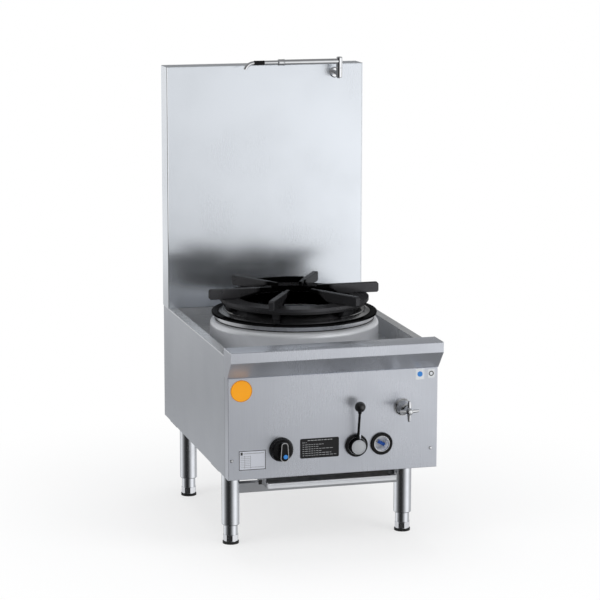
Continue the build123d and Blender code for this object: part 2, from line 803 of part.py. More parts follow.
def sight_tube():
    """Polished tube behind the sight port."""
    inner = SIGHT_BORE_RADIUS
    outer = SIGHT_TUBE_RADIUS
    back = -SIGHT_TUBE_LENGTH
    return turned_out([(inner, 0), (outer, 0), (outer, back), (inner, back)], SIGHT_AT)


def igniter_rod():
    """Thin rod from the wall of the sight tube, with a blue sleeve on its lower end."""
    x, z = SIGHT_AT
    slope = radians(-30)
    middle = (x + 5, 30.0, z - 4)
    sleeve_half = 12.0

    def along(reach):
        """A point on the rod's line at some reach down from the sleeve's middle."""
        return (middle[0] + reach * cos(slope), middle[1], middle[2] + reach * sin(slope))

    rod = round_bar(along(-40), along(-sleeve_half + 1), 1.5)
    sleeve = round_bar(along(-sleeve_half), along(sleeve_half), 4.0)
    return (rod + sleeve) & spindle(SIGHT_AT, SIGHT_BORE_RADIUS, 0, -SIGHT_TUBE_LENGTH)


def tap_bonnet():
    """Chrome bonnet of the water tap on the panel."""
    bore = TAP_SPINDLE_RADIUS + FIT
    profile = [
        (bore, 0),
        (25, 0),
        (25, 3.5),
        (20, 7),
        (15.5, 20),
        (13.5, 24),
        (13.5, 30),
        (10, 33),
        (bore, 33),
    ]
    return turned_out(profile, TAP_AT)


def tap_valve():
    """Water valve behind the panel, with its inlet below and its outlet at the back."""
    x, z = TAP_AT
    bore = TAP_SPINDLE_RADIUS + FIT
    profile = [
        (bore, 0),
        (10.8, 0),
        (10.8, -8),
        (16, -8),
        (16, -60),
        (WATER_PIPE_RADIUS, -60),
        (WATER_PIPE_RADIUS, -70),
        (0, -70),
        (0, -30),
        (bore, -30),
    ]
    return turned_out(profile, TAP_AT) + upright(x, 42.0, WATER_PIPE_RADIUS, z - 28, z - 12)


def tap_spindle():
    """Spindle between the tap's handle and its valve."""
    return spindle(TAP_AT, TAP_SPINDLE_RADIUS, 64.0, -24.0)


def tap_handle():
    """Cross handle of the water tap."""
    bore = TAP_SPINDLE_RADIUS
    profile = [
        (bore, 37),
        (9, 37),
        (9, 49),
        (11, 53),
        (11, 62),
        (8.5, 67),
        (4, TAP_REACH),
        (0, TAP_REACH),
        (0, 64),
        (bore, 64),
    ]
    reach = 29.5
    root_radius = 7.0
    tip_radius = 3.6
    arms = turned_up([(0, -reach), (tip_radius, -reach), (root_radius, 0), (tip_radius, reach), (0, reach)])
    tips = arms.edges().group_by(Axis.Z)
    arms = fillet(tips[0] + tips[-1], 2.8)
    x, z = TAP_AT
    handle = turned_out(profile, TAP_AT)
    for turn in (0, 90):
        handle += Pos(x, -57.5, z) * Rot(0, turn, 0) * arms
    return handle - spindle(TAP_AT, bore, 64, 30)


def water_inlet_pipe():
    """Cold water pipe from its threaded end at the back to the tap's valve."""
    x, z = TAP_AT
    route = [(x, 42.0, z - 28), (x, 42.0, WATER_LINE_Z), (x, BODY_DEPTH + INLET_REACH, WATER_LINE_Z)]
    pipe = bent_pipe(route, 30.0, WATER_PIPE_RADIUS, WATER_PIPE_BORE)
    return pipe + inlet_nipple((x, WATER_LINE_Z), WATER_THREAD_RADIUS, WATER_PIPE_BORE)


def water_riser_pipe():
    """Pipe from the tap's valve up inside the splashback to the pot filler."""
    x, z = TAP_AT
    rise_y = 768.0
    route = [
        (x, 70.0, z),
        (x, 690.0, z),
        (FAUCET_X, rise_y, z),
        (FAUCET_X, rise_y, STUB_Z),
        (FAUCET_X, SPLASH_FRONT + 12, STUB_Z),
    ]
    return bent_pipe(route, 18.0, WATER_PIPE_RADIUS, WATER_PIPE_BORE)


def faucet_flange():
    """Wall flange of the pot filler."""
    back = -SPLASH_FRONT
    profile = [(7, back), (16, back), (16, back + 2), (13, back + 6), (7, back + 6)]
    return turned_out(profile, (FAUCET_X, STUB_Z))


def faucet_body():
    """Fixed lower half of the pot filler, with its stub through the splashback."""
    low = 1245.0
    bore_low = 1254.0
    stub = spindle((FAUCET_X, STUB_Z), 7.0, -FAUCET_Y, -SPLASH_FRONT - 12)
    body = upright(FAUCET_X, FAUCET_Y, FAUCET_RADIUS, low, FAUCET_JOINT_Z)
    body = chamfer(body.edges().sort_by(Axis.Z)[0], 1.5)
    bore_radius = FAUCET_PIVOT_RADIUS + FIT
    return body + stub - upright(FAUCET_X, FAUCET_Y, bore_radius, bore_low, FAUCET_JOINT_Z + 1)


def arm_bar(start_x, end_x, radius):
    """A round bar along the pot filler's arm line."""
    return round_bar((start_x, FAUCET_Y, ARM_Z), (end_x, FAUCET_Y, ARM_Z), radius)


def faucet_arm():
    """Swinging head of the pot filler with its straight arm and end collar."""
    head_low = FAUCET_JOINT_Z + 0.5
    head = upright(FAUCET_X, FAUCET_Y, FAUCET_RADIUS, head_low, FAUCET_TOP)
    head = chamfer(head.edges().sort_by(Axis.Z)[-1], 1.0)
    pivot = upright(FAUCET_X, FAUCET_Y, FAUCET_PIVOT_RADIUS, 1256.0, head_low + 2)
    arm = arm_bar(FAUCET_X, ARM_COLLAR_X, 8.0)
    collar = arm_bar(ARM_COLLAR_X, ARM_COLLAR_X - 18, 9.2)
    collar = chamfer(collar.edges().group_by(Axis.X)[0] + collar.edges().group_by(Axis.X)[-1], 0.8)
    socket = arm_bar(ARM_COLLAR_X - 8, ARM_COLLAR_X - 20, END_TUBE_RADIUS)
    return head + pivot + arm + collar - socket


def spout_tube():
    """Thinner end tube of the arm, bent down at its tip and open there."""
    wide = arm_bar(ARM_COLLAR_X - 8, SLEEVE_X, END_TUBE_RADIUS)
    bend_radius = 28.7
    bend_turn = 70.0
    bend = CenterArc((SPOUT_BEND_X, ARM_Z - bend_radius), bend_radius, 90, bend_turn)
    run = Line((SLEEVE_X, ARM_Z), (SPOUT_BEND_X, ARM_Z))
    arm_plane = Plane(origin=(0, FAUCET_Y, 0), x_dir=(1, 0, 0), z_dir=(0, -1, 0))
    path = arm_plane * (run + bend)
    section = Plane(origin=path @ 0, z_dir=path % 0) * Circle(SPOUT_RADIUS)
    spout = sweep(section, path=path)
    tip = path @ 1
    back_along = tip - (path % 1) * 10
    bore = round_bar(tuple(back_along), tuple(tip + (path % 1)), 4.2)
    return wide + spout - bore


def spout_sleeve():
    """Black sleeve round the end tube."""
    sleeve = arm_bar(SLEEVE_X, SPOUT_BEND_X, 6.6)
    return sleeve - arm_bar(SLEEVE_X + 1, SPOUT_BEND_X - 1, SPOUT_RADIUS)


def all_pieces():
    """Every separate piece of the range under its node name."""
    right_side = side_panel()
    pieces = {
        "left_side_panel": mirror(right_side, about=Plane.YZ),
        "right_side_panel": right_side,
        "control_panel": control_panel(),
        "front_rail": front_rail(),
        "hob_deck": hob_deck(),
        "burner_collar": burner_collar(),
        "lip_ring": lip_ring(),
        "lower_ring": lower_ring(),
        "trivet": trivet(),
        "rear_panel": rear_panel(),
        "base_frame": base_frame(),
        "leg_mount_plates": leg_mount_plates(),
        "leg_crossbars": leg_crossbars(),
        "tray_runners": tray_runners(),
        "drip_tray": drip_tray(),
        "splashback_back": splashback_back(),
        "splashback_front": splashback_front(),
        "panel_screws": panel_screws(),
        "rating_plate": panel_plate((-269.1, -192.2), (249.0, 305.0), 2.0, 0.8),
        "instruction_plate": panel_plate((-95.6, 14.4), (272.0, 327.0), 4.0, 1.0),
        "badge_disc": spindle((-260.7, 471.0), 30.0, 1.0, 0.0),
        "panel_stickers": panel_stickers(),
        "gas_manifold": gas_manifold(),
        "pilot_gas_valve": pilot_gas_valve(),
        "pilot_burner": pilot_burner(),
        "main_gas_cock": main_gas_cock(),
        "injector_pipe": injector_pipe(),
        "injector": injector(),
        "burner_body": burner_body(),
        "burner_cap": burner_cap(),
        "burner_bracket": burner_bracket(),
        "knob_body": knob_body(),
        "knob_trim": knob_trim(),
        "knob_shaft": knob_shaft(),
        "lever_bezel": lever_bezel(),
        "lever_hub": lever_hub(),
        "lever_rod": lever_rod(),
        "lever_ball": lever_ball(),
        "sight_bezel": sight_bezel(),
        "sight_tube": sight_tube(),
        "igniter_rod": igniter_rod(),
        "tap_bonnet": tap_bonnet(),
        "tap_valve": tap_valve(),
        "tap_spindle": tap_spindle(),
        "tap_handle": tap_handle(),
        "water_inlet_pipe": water_inlet_pipe(),
        "water_riser_pipe": water_riser_pipe(),
        "faucet_flange": faucet_flange(),
        "faucet_body": faucet_body(),
        "faucet_arm": faucet_arm(),
        "spout_tube": spout_tube(),
        "spout_sleeve": spout_sleeve(),
    }
    for name, x, y in leg_places():
        pieces[f"leg_{name}"] = leg_tube(x, y)
        pieces[f"foot_{name}"] = levelling_foot(x, y)
    return pieces


def save(name, piece):
    """Move a piece into the shared frame and write it."""
    export_step(Pos(0, SHIFT_Y, 0) * piece, f"parts/{name}.step")


def main():
    """Write every piece to its own file."""
    os.makedirs("parts", exist_ok=True)
    for name, piece in all_pieces().items():
        save(name, piece)


if __name__ == "__main__":
    main()
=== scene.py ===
"""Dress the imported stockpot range: its finishes, its fine pieces, the studio round it and the camera."""

import logging
import math
from collections.abc import Callable
from dataclasses import dataclass
from enum import Enum

import bmesh
import bpy
from mathutils import Euler, Matrix, Vector


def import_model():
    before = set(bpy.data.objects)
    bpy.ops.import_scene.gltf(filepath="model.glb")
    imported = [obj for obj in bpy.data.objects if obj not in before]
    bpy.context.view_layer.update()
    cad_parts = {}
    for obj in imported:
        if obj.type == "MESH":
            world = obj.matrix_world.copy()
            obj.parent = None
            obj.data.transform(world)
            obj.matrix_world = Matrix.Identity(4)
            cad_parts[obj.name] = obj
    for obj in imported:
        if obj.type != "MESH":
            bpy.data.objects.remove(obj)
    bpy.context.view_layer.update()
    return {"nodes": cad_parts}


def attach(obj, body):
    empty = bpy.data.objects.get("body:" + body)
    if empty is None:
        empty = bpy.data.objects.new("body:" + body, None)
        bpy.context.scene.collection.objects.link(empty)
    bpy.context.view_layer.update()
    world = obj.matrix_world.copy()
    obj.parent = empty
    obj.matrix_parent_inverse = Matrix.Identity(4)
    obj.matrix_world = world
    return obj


LOG = logging.getLogger("stockpot_range")
MM = 0.001

# The panel's front in the frame, in millimetres along Y, and the burner's axis behind it
PANEL_FRONT = -380.0
BURNER_BACK = 411.0

# Turns of a piece that is drawn standing upright
UPRIGHT = Euler((0.0, 0.0, 0.0))
FORWARD = Euler((math.radians(90), 0.0, 0.0))
BACKWARD = Euler((math.radians(-90), 0.0, 0.0))
SIDEWAYS = Euler((0.0, math.radians(-90), 0.0))

Color = tuple[float, float, float]
Point = tuple[float, float, float]


class Grain(Enum):
    """Which way the strokes of a brushed sheet run."""

    ACROSS = (6.0, 700.0, 700.0)
    BACKWARDS = (700.0, 6.0, 700.0)
    UPRIGHT = (700.0, 700.0, 6.0)


# Shader building


class Shader:
    """A node tree that is filled from its inputs towards its output."""

    def __init__(self, tree: bpy.types.NodeTree) -> None:
        """Start with the nodes already in a tree.

        Args:
            tree: The node tree to fill.
        """
        self.tree = tree

    def add(self, kind: str, **settings: object) -> bpy.types.Node:
        """Add a node.

        Args:
            kind: The node's type without the ShaderNode prefix.
            settings: Properties of the node.

        Returns:
            The new node.
        """
        node = self.tree.nodes.new("ShaderNode" + kind)
        for name, value in settings.items():
            setattr(node, name, value)
        return node

    def join(self, source: bpy.types.NodeSocket, target: bpy.types.NodeSocket) -> None:
        """Link one socket to another."""
        self.tree.links.new(source, target)

    def feed(self, value: object, target: bpy.types.NodeSocket) -> None:
        """Link a socket, or set a plain value, on an input."""
        if isinstance(value, bpy.types.NodeSocket):
            self.join(value, target)
        else:
            target.default_value = value

    def math(self, operation: str, first: object, second: object = 0.0) -> bpy.types.NodeSocket:
        """Combine two numbers.

        Args:
            operation: The Math node's operation.
            first: A socket or a number.
            second: A socket or a number.

        Returns:
            The result's socket.
        """
        node = self.add("Math", operation=operation)
        self.feed(first, node.inputs[0])
        self.feed(second, node.inputs[1])
        return node.outputs[0]

    def remap(self, value: object, source: tuple[float, float], target: tuple[float, float]) -> bpy.types.NodeSocket:
        """Move a number smoothly from one range to another.

        Args:
            value: A socket or a number.
            source: The range that it comes from.
            target: The range that it goes to.

        Returns:
            The moved number's socket.
        """
        node = self.add("MapRange", interpolation_type="SMOOTHSTEP")
        self.feed(value, node.inputs["Value"])
        node.inputs["From Min"].default_value, node.inputs["From Max"].default_value = source
        node.inputs["To Min"].default_value, node.inputs["To Max"].default_value = target
        return node.outputs["Result"]

    def mix(self, share: object, first: object, second: object, blend: str = "MIX") -> bpy.types.NodeSocket:
        """Mix two colours.

        Args:
            share: How much of the second colour shows.
            first: A socket or a colour.
            second: A socket or a colour.
            blend: The blend mode.

        Returns:
            The mixed colour's socket.
        """
        node = self.add("Mix", data_type="RGBA", blend_type=blend)
        self.feed(share, node.inputs[0])
        for value, target in ((first, node.inputs[6]), (second, node.inputs[7])):
            self.feed((*value, 1.0) if isinstance(value, tuple) else value, target)
        return node.outputs[2]

    def choose(
        self, share: object, first: bpy.types.NodeSocket, second: bpy.types.NodeSocket
    ) -> bpy.types.NodeSocket:
        """Mix two surfaces.

        Args:
            share: How much of the second surface shows.
            first: The first surface's socket.
            second: The second surface's socket.

        Returns:
            The mixed surface's socket.
        """
        node = self.add("MixShader")
        self.feed(share, node.inputs[0])
        self.join(first, node.inputs[1])
        self.join(second, node.inputs[2])
        return node.outputs[0]

    def ramp(self, value: object, stops: list[tuple[float, float]]) -> bpy.types.NodeSocket:
        """Turn a number from 0 to 1 into a grey.

        Args:
            value: The number's socket.
            stops: Pairs of place and brightness, in rising order.

        Returns:
            The grey's socket.
        """
        node = self.add("ValToRGB")
        node.color_ramp.interpolation = "LINEAR"
        elements = node.color_ramp.elements
        while len(elements) < len(stops):
            elements.new(1.0)
        for element, (place, grey) in zip(elements, stops):
            element.position = place
            element.color = (grey, grey, grey, 1.0)
        self.feed(value, node.inputs[0])
        return node.outputs["Color"]

    def noise(self, vector: bpy.types.NodeSocket, scale: float, detail: float) -> bpy.types.NodeSocket:
        """Lay noise on a vector.

        Args:
            vector: The vector's socket.
            scale: How fine the noise is.
            detail: How many finer layers it has.

        Returns:
            The socket of a number around 0.5.
        """
        node = self.add("TexNoise")
        self.join(vector, node.inputs["Vector"])
        node.inputs["Scale"].default_value = scale
        node.inputs["Detail"].default_value = detail
        return node.outputs["Fac"]

    def length(self, vector: bpy.types.NodeSocket) -> bpy.types.NodeSocket:
        """The length of a vector."""
        node = self.add("VectorMath", operation="LENGTH")
        self.join(vector, node.inputs[0])
        return node.outputs["Value"]

    def axes(self, vector: bpy.types.NodeSocket) -> list[bpy.types.NodeSocket]:
        """The three parts of a vector."""
        node = self.add("SeparateXYZ")
        self.join(vector, node.inputs[0])
        return list(node.outputs)

    def emboss(
        self, height: bpy.types.NodeSocket, strength: float, distance: float, surface: bpy.types.Node
    ) -> None:
        """Bump a surface.

        Args:
            height: The height's socket.
            strength: How strongly it shows.
            distance: How far it stands out, in metres.
            surface: The Principled node.
        """
        bump = self.add("Bump")
        bump.inputs["Strength"].default_value = strength
        bump.inputs["Distance"].default_value = distance
        self.join(height, bump.inputs["Height"])
        self.join(bump.outputs[0], surface.inputs["Normal"])

    def group(self, tree: bpy.types.NodeTree, **values: object) -> bpy.types.Node:
        """Place a shared group.

        Args:
            tree: The group.
            values: A socket or a number for each of its inputs, by name.

        Returns:
            The group's node.
        """
        node = self.add("Group")
        node.node_tree = tree
        for name, value in values.items():
            self.feed(value, node.inputs[name.replace("_", " ")])
        return node


class SharedEffects:
    """Node groups that more than one finish uses, each made once."""

    def __init__(self) -> None:
        """Make the groups."""
        self.strokes = self._strokes()
        self.smudges = self._smudges()
        self.pits = self._pits()

    @staticmethod
    def _start(
        name: str, numbers: dict[str, float], results: list[str]
    ) -> tuple[Shader, bpy.types.Node, bpy.types.Node]:
        """Open a group with a vector input, some number inputs and some number outputs.

        Args:
            name: The group's name.
            numbers: Default of each number input by name.
            results: Names of the outputs.

        Returns:
            The group's shader, its input node and its output node.
        """
        tree = bpy.data.node_groups.new(name, "ShaderNodeTree")
        tree.interface.new_socket("Vector", in_out="INPUT", socket_type="NodeSocketVector")
        for label, value in numbers.items():
            socket = tree.interface.new_socket(label, in_out="INPUT", socket_type="NodeSocketFloat")
            socket.default_value = value
        for label in results:
            tree.interface.new_socket(label, in_out="OUTPUT", socket_type="NodeSocketFloat")
        entry = tree.nodes.new("NodeGroupInput")
        leave = tree.nodes.new("NodeGroupOutput")
        return Shader(tree), entry, leave

    @staticmethod
    def _scaled(shader: Shader, entry: bpy.types.Node) -> bpy.types.NodeSocket:
        """Multiply a group's vector by its scale.

        Args:
            shader: The group's shader.
            entry: The group's input node.

        Returns:
            The scaled vector's socket.
        """
        scaled = shader.add("VectorMath", operation="SCALE")
        shader.join(entry.outputs["Vector"], scaled.inputs[0])
        shader.join(entry.outputs["Scale"], scaled.inputs["Scale"])
        return scaled.outputs[0]

    def _strokes(self) -> bpy.types.NodeTree:
        """Long fine brush strokes, from a vector that is already stretched along them."""
        shader, entry, leave = self._start("brush_strokes", {"Depth": 1.0}, ["Height", "Tone"])
        fine = shader.noise(entry.outputs["Vector"], scale=3.4, detail=2.0)
        broad = shader.noise(entry.outputs["Vector"], scale=0.7, detail=4.0)
        both = shader.math("ADD", shader.math("MULTIPLY", fine, 0.6), shader.math("MULTIPLY", broad, 0.4))
        shader.join(shader.math("MULTIPLY", both, entry.outputs["Depth"]), leave.inputs["Height"])
        shader.join(shader.remap(both, (0.3, 0.7), (0.0, 1.0)), leave.inputs["Tone"])
        return shader.tree

    def _smudges(self) -> bpy.types.NodeTree:
        """Soft clouds of handling marks and dulled patches."""
        shader, entry, leave = self._start("smudges", {"Scale": 6.0}, ["Cloud", "Speckle"])
        scaled = self._scaled(shader, entry)
        cloud = shader.noise(scaled, scale=1.0, detail=6.0)
        speckle = shader.noise(scaled, scale=60.0, detail=2.0)
        shader.join(shader.remap(cloud, (0.35, 0.7), (0.0, 1.0)), leave.inputs["Cloud"])
        shader.join(shader.remap(speckle, (0.45, 0.75), (0.0, 1.0)), leave.inputs["Speckle"])
        return shader.tree

    def _pits(self) -> bpy.types.NodeTree:
        """The pebbled skin that sand leaves on a casting."""
        shader, entry, leave = self._start("casting_skin", {"Scale": 500.0}, ["Height", "Hollow"])
        scaled = self._scaled(shader, entry)
        grit = shader.noise(scaled, scale=1.0, detail=4.0)
        waves = shader.noise(scaled, scale=0.12, detail=2.0)
        height = shader.math("ADD", shader.math("MULTIPLY", grit, 0.5), shader.math("MULTIPLY", waves, 0.5))
        shader.join(height, leave.inputs["Height"])
        shader.join(shader.remap(grit, (0.58, 0.4), (0.0, 1.0)), leave.inputs["Hollow"])
        return shader.tree


def new_material(name: str) -> tuple[bpy.types.Material, Shader, bpy.types.Node, bpy.types.NodeSocket]:
    """Make an empty material.

    Args:
        name: The material's name.

    Returns:
        The material, its shader, its Principled node and the object-space vector.
    """
    material = bpy.data.materials.new(name)
    material.use_nodes = True
    shader = Shader(material.node_tree)
    surface = material.node_tree.nodes["Principled BSDF"]
    place = shader.add("TexCoord").outputs["Object"]
    return material, shader, surface, place


@dataclass(frozen=True)
class BrushedSteel:
    """Stainless sheet with straight brush strokes.

    Attributes:
        name: The material's name.
        tint: Colour of the steel.
        roughness: Middle roughness.
        grain: Which way the strokes run.
        stroke_depth: Height of the strokes in millimetres.
        contrast: How much the strokes and smudges change the colour.
        anisotropy: How far highlights are drawn out across the strokes.
        metallic: How metallic it is; a worn sheet keeps a small matt share.
    """

    name: str
    tint: Color
    roughness: float
    grain: Grain
    stroke_depth: float = 0.01
    contrast: float = 0.05
    anisotropy: float = 0.0
    metallic: float = 1.0

    def material(self, effects: SharedEffects) -> bpy.types.Material:
        """Build the material from the shared strokes and smudges.

        Args:
            effects: The shared node groups.

        Returns:
            The new material.
        """
        material, shader, surface, place = new_material(self.name)
        stretch = shader.add("Mapping")
        stretch.inputs["Scale"].default_value = self.grain.value
        shader.join(place, stretch.inputs["Vector"])
        strokes = shader.group(effects.strokes, Vector=stretch.outputs[0], Depth=self.stroke_depth * MM)
        smudges = shader.group(effects.smudges, Vector=place, Scale=5.0)
        dark = tuple(channel * (1 - self.contrast) for channel in self.tint)
        light = tuple(min(channel * (1 + self.contrast), 1.0) for channel in self.tint)
        toned = shader.mix(strokes.outputs["Tone"], dark, light)
        dulled = tuple(channel * (1 - 0.8 * self.contrast) for channel in self.tint)
        share = shader.math("MULTIPLY", smudges.outputs["Cloud"], 0.5)
        shader.join(shader.mix(share, toned, dulled), surface.inputs["Base Color"])
        cloudy = shader.math("MULTIPLY", smudges.outputs["Cloud"], 0.06)
        rough = shader.math("ADD", cloudy, self.roughness - 0.03)
        stroke_rough = shader.math("MULTIPLY", strokes.outputs["Tone"], 0.04)
        shader.join(shader.math("ADD", rough, stroke_rough), surface.inputs["Roughness"])
        surface.inputs["Metallic"].default_value = self.metallic
        surface.inputs["Anisotropic"].default_value = self.anisotropy
        shader.emboss(strokes.outputs["Height"], 0.25, 1.0, surface)
        return material


@dataclass(frozen=True)
class ArmsClearOfShade:
    """The trivet's arms, which the sooting and painted shade leave out. Lengths are in metres.

    Attributes:
        count: How many there are.
        half_width: Half the width of one.
        start: Distance from the burner's axis where they begin to be left out.
        start_fade: Distance over which they get left out there.
        underside: Height above which they are left out.
        underside_fade: Height over which they get left out.
        climb: How much higher the painted shade stands at the inner end of the arms on the left.
        climb_length: How far along such an arm it sinks back.
        climb_fade: How far left of the burner's axis such arms begin.
        edge: Where the soft edge beside an arm ends and begins, outside its half width.
    """

    count: int = 6
    half_width: float = 0.008
    start: float = 0.1
    start_fade: float = 0.02
    underside: float = 0.645
    underside_fade: float = 0.006
    climb: float = 0.0165
    climb_length: float = 0.09
    climb_fade: float = 0.02
    edge: tuple[float, float] = (0.0004, 0.0002)

    def mask(
        self,
        shader: Shader,
        x: bpy.types.NodeSocket,
        back: bpy.types.NodeSocket,
        z: bpy.types.NodeSocket,
        reach: bpy.types.NodeSocket,
    ) -> bpy.types.NodeSocket:
        """Build the mask.

        Args:
            shader: The piece's shader.
            x: Distance to the right of the burner's axis.
            back: Distance behind the axis.
            z: Height above the floor.
            reach: Distance from the axis.

        Returns:
            A socket of 1 on an arm that is left out and 0 elsewhere.
        """
        aside = 1.0
        for index in range(self.count // 2):
            turn = 2 * math.pi * index / self.count
            offset = shader.math("MULTIPLY", x, math.sin(turn))
            offset = shader.math("SUBTRACT", offset, shader.math("MULTIPLY", back, math.cos(turn)))
            aside = shader.math("MINIMUM", aside, shader.math("ABSOLUTE", offset))
        outer, inner = (self.half_width + step for step in self.edge)
        on_arm = shader.remap(aside, (outer, inner), (0.0, 1.0))
        # The climb is painted shade reaching up the inner end of the arms on the left
        climb = shader.remap(reach, (self.start, self.start + self.climb_length), (self.climb, 0.0))
        climb = shader.math("MULTIPLY", climb, shader.remap(x, (-self.climb_fade, 0.0), (1.0, 0.0)))
        over = shader.math("SUBTRACT", shader.math("SUBTRACT", z, self.underside), climb)
        unshaded = shader.math("MULTIPLY", on_arm, shader.remap(over, (0.0, self.underside_fade), (0.0, 1.0)))
        begun = shader.remap(reach, (self.start, self.start + self.start_fade), (0.0, 1.0))
        return shader.math("MULTIPLY", unshaded, begun)


@dataclass(frozen=True)
class SootAndShadeZone:
    """Where a piece is painted near-black, partly for sooting from the flame and partly as painted shade inside the
    burner and under the trivet. Lengths are in metres.

    Attributes:
        radius: It reaches this far from the burner's axis.
        rim: Above this height it reaches out to this radius, if the piece has such a rim.
        arms: Arms that it leaves out, if any.
        cone: It stays where the height plus this share of the reach is under this much, if it is so bound.
        grey: How bright it is.
        burner_back: Distance of the burner's axis behind the middle.
        soft: Width of its soft edge.
    """

    radius: float
    rim: tuple[float, float] | None = None
    arms: ArmsClearOfShade | None = None
    cone: tuple[float, float] | None = None
    grey: float = 0.003
    burner_back: float = (BURNER_BACK + PANEL_FRONT) * MM
    soft: float = 0.0008

    def mask(self, shader: Shader, place: bpy.types.NodeSocket) -> bpy.types.NodeSocket:
        """Build the mask.

        Args:
            shader: The piece's shader.
            place: Its object-space vector.

        Returns:
            A socket of 1 in the sooting and painted shade and 0 outside.
        """
        x, y, z = shader.axes(place)
        back = shader.math("SUBTRACT", y, self.burner_back)
        squares = shader.math("ADD", shader.math("MULTIPLY", x, x), shader.math("MULTIPLY", back, back))
        reach = shader.math("SQRT", squares)
        # Near-black within the radius: sooting and painted shade inside the burner and under the trivet
        darkened = self._within(shader, reach, self.radius)
        if self.cone:
            slope, level = self.cone
            tilted = shader.math("ADD", z, shader.math("MULTIPLY", reach, slope))
            darkened = shader.math("MULTIPLY", darkened, self._within(shader, tilted, level))
        if self.rim:
            height, radius = self.rim
            above = shader.remap(z, (height, height + self.soft), (0.0, 1.0))
            on_rim = shader.math("MULTIPLY", self._within(shader, reach, radius), above)
            darkened = shader.math("MAXIMUM", darkened, on_rim)
        if self.arms:
            unshaded = self.arms.mask(shader, x, back, z, reach)
            darkened = shader.math("MULTIPLY", darkened, shader.math("SUBTRACT", 1.0, unshaded))
        return darkened

    def over(
        self, shader: Shader, place: bpy.types.NodeSocket, toned: bpy.types.NodeSocket
    ) -> bpy.types.NodeSocket:
        """A piece's colour with the sooting and painted shade laid over it."""
        return shader.mix(self.mask(shader, place), toned, (self.grey,) * 3)

    def _within(self, shader: Shader, value: bpy.types.NodeSocket, limit: float) -> bpy.types.NodeSocket:
        """1 where a number is under its limit and 0 over it, with a soft edge."""
        return shader.remap(value, (limit, limit - self.soft), (0.0, 1.0))


@dataclass(frozen=True)
class PolishedMetal:
    """Polished or turned metal with faint smudges.

    Attributes:
        name: The material's name.
        tint: Colour of the metal.
        roughness: Roughness away from the smudges.
        smudge: How much rougher the smudges are.
        tarnish: Colour that the smudges tend to.
        metallic: How metallic it is; a satin face keeps a small matt share.
        soot_and_shade: Where it is painted near-black for sooting and for shade, if anywhere.
    """

    name: str
    tint: Color
    roughness: float
    smudge: float = 0.08
    tarnish: Color = (0.5, 0.5, 0.5)
    metallic: float = 1.0
    soot_and_shade: SootAndShadeZone | None = None

    def material(self, effects: SharedEffects) -> bpy.types.Material:
        """Build the material from the shared smudges.

        Args:
            effects: The shared node groups.

        Returns:
            The new material.
        """
        material, shader, surface, place = new_material(self.name)
        smudges = shader.group(effects.smudges, Vector=place, Scale=30.0)
        share = shader.math("MULTIPLY", smudges.outputs["Cloud"], 0.12)
        toned = shader.mix(share, self.tint, self.tarnish)
        # Near-black laid over the colour: sooting and painted shade
        if self.soot_and_shade:
            toned = self.soot_and_shade.over(shader, place, toned)
        shader.join(toned, surface.inputs["Base Color"])
        cloud = shader.math("MULTIPLY", smudges.outputs["Cloud"], self.smudge)
        speckle = shader.math("MULTIPLY", smudges.outputs["Speckle"], self.smudge * 0.5)
        rough = shader.math("ADD", shader.math("ADD", cloud, speckle), self.roughness)
        shader.join(rough, surface.inputs["Roughness"])
        surface.inputs["Metallic"].default_value = self.metallic
        shader.emboss(smudges.outputs["Speckle"], 0.05, 0.2 * MM, surface)
        return material


@dataclass(frozen=True)
class CastSurface:
    """Cast iron, bare, blackened or enamelled.

    Attributes:
        name: The material's name.
        tint: Colour of the skin.
        hollow: Colour in the hollows of the skin.
        roughness: Middle roughness.
        pit_depth: Depth of the skin's texture in millimetres.
        pit_scale: Count of pits along a metre.
        edge: How much more it mirrors at a slant, from 0 to 1.
        soot_and_shade: Where it is painted near-black for sooting and for shade, if anywhere.
        bare: Grey of the metal where the skin is gone, and the height in metres above which it is, if it is.
        metallic: How metallic it is; a dull skin keeps a matt share.
    """

    name: str
    tint: Color
    hollow: Color
    roughness: float
    pit_depth: float
    pit_scale: float = 500.0
    edge: float = 0.15
    soot_and_shade: SootAndShadeZone | None = None
    bare: tuple[float, float] | None = None
    metallic: float = 1.0

    def material(self, effects: SharedEffects) -> bpy.types.Material:
        """Build the material from the shared casting skin and smudges.

        Args:
            effects: The shared node groups.

        Returns:
            The new material.
        """
        material, shader, surface, place = new_material(self.name)
        skin = shader.group(effects.pits, Vector=place, Scale=self.pit_scale)
        smudges = shader.group(effects.smudges, Vector=place, Scale=14.0)
        toned = shader.mix(skin.outputs["Hollow"], self.tint, self.hollow)
        if self.bare:
            grey, height = self.bare
            worn = shader.remap(shader.axes(place)[2], (height - 0.5 * MM, height + 0.5 * MM), (0.0, 1.0))
            toned = shader.mix(worn, toned, (grey,) * 3)
        # Near-black laid over the colour: sooting and painted shade
        if self.soot_and_shade:
            toned = self.soot_and_shade.over(shader, place, toned)
        shader.join(toned, surface.inputs["Base Color"])
        cloud = shader.math("MULTIPLY", smudges.outputs["Cloud"], 0.12)
        shader.join(shader.math("ADD", cloud, self.roughness - 0.05), surface.inputs["Roughness"])
        surface.inputs["Metallic"].default_value = self.metallic
        surface.inputs["Specular Tint"].default_value = (self.edge, self.edge, self.edge, 1.0)
        shader.emboss(skin.outputs["Height"], 0.6, self.pit_depth * MM, surface)
        return material


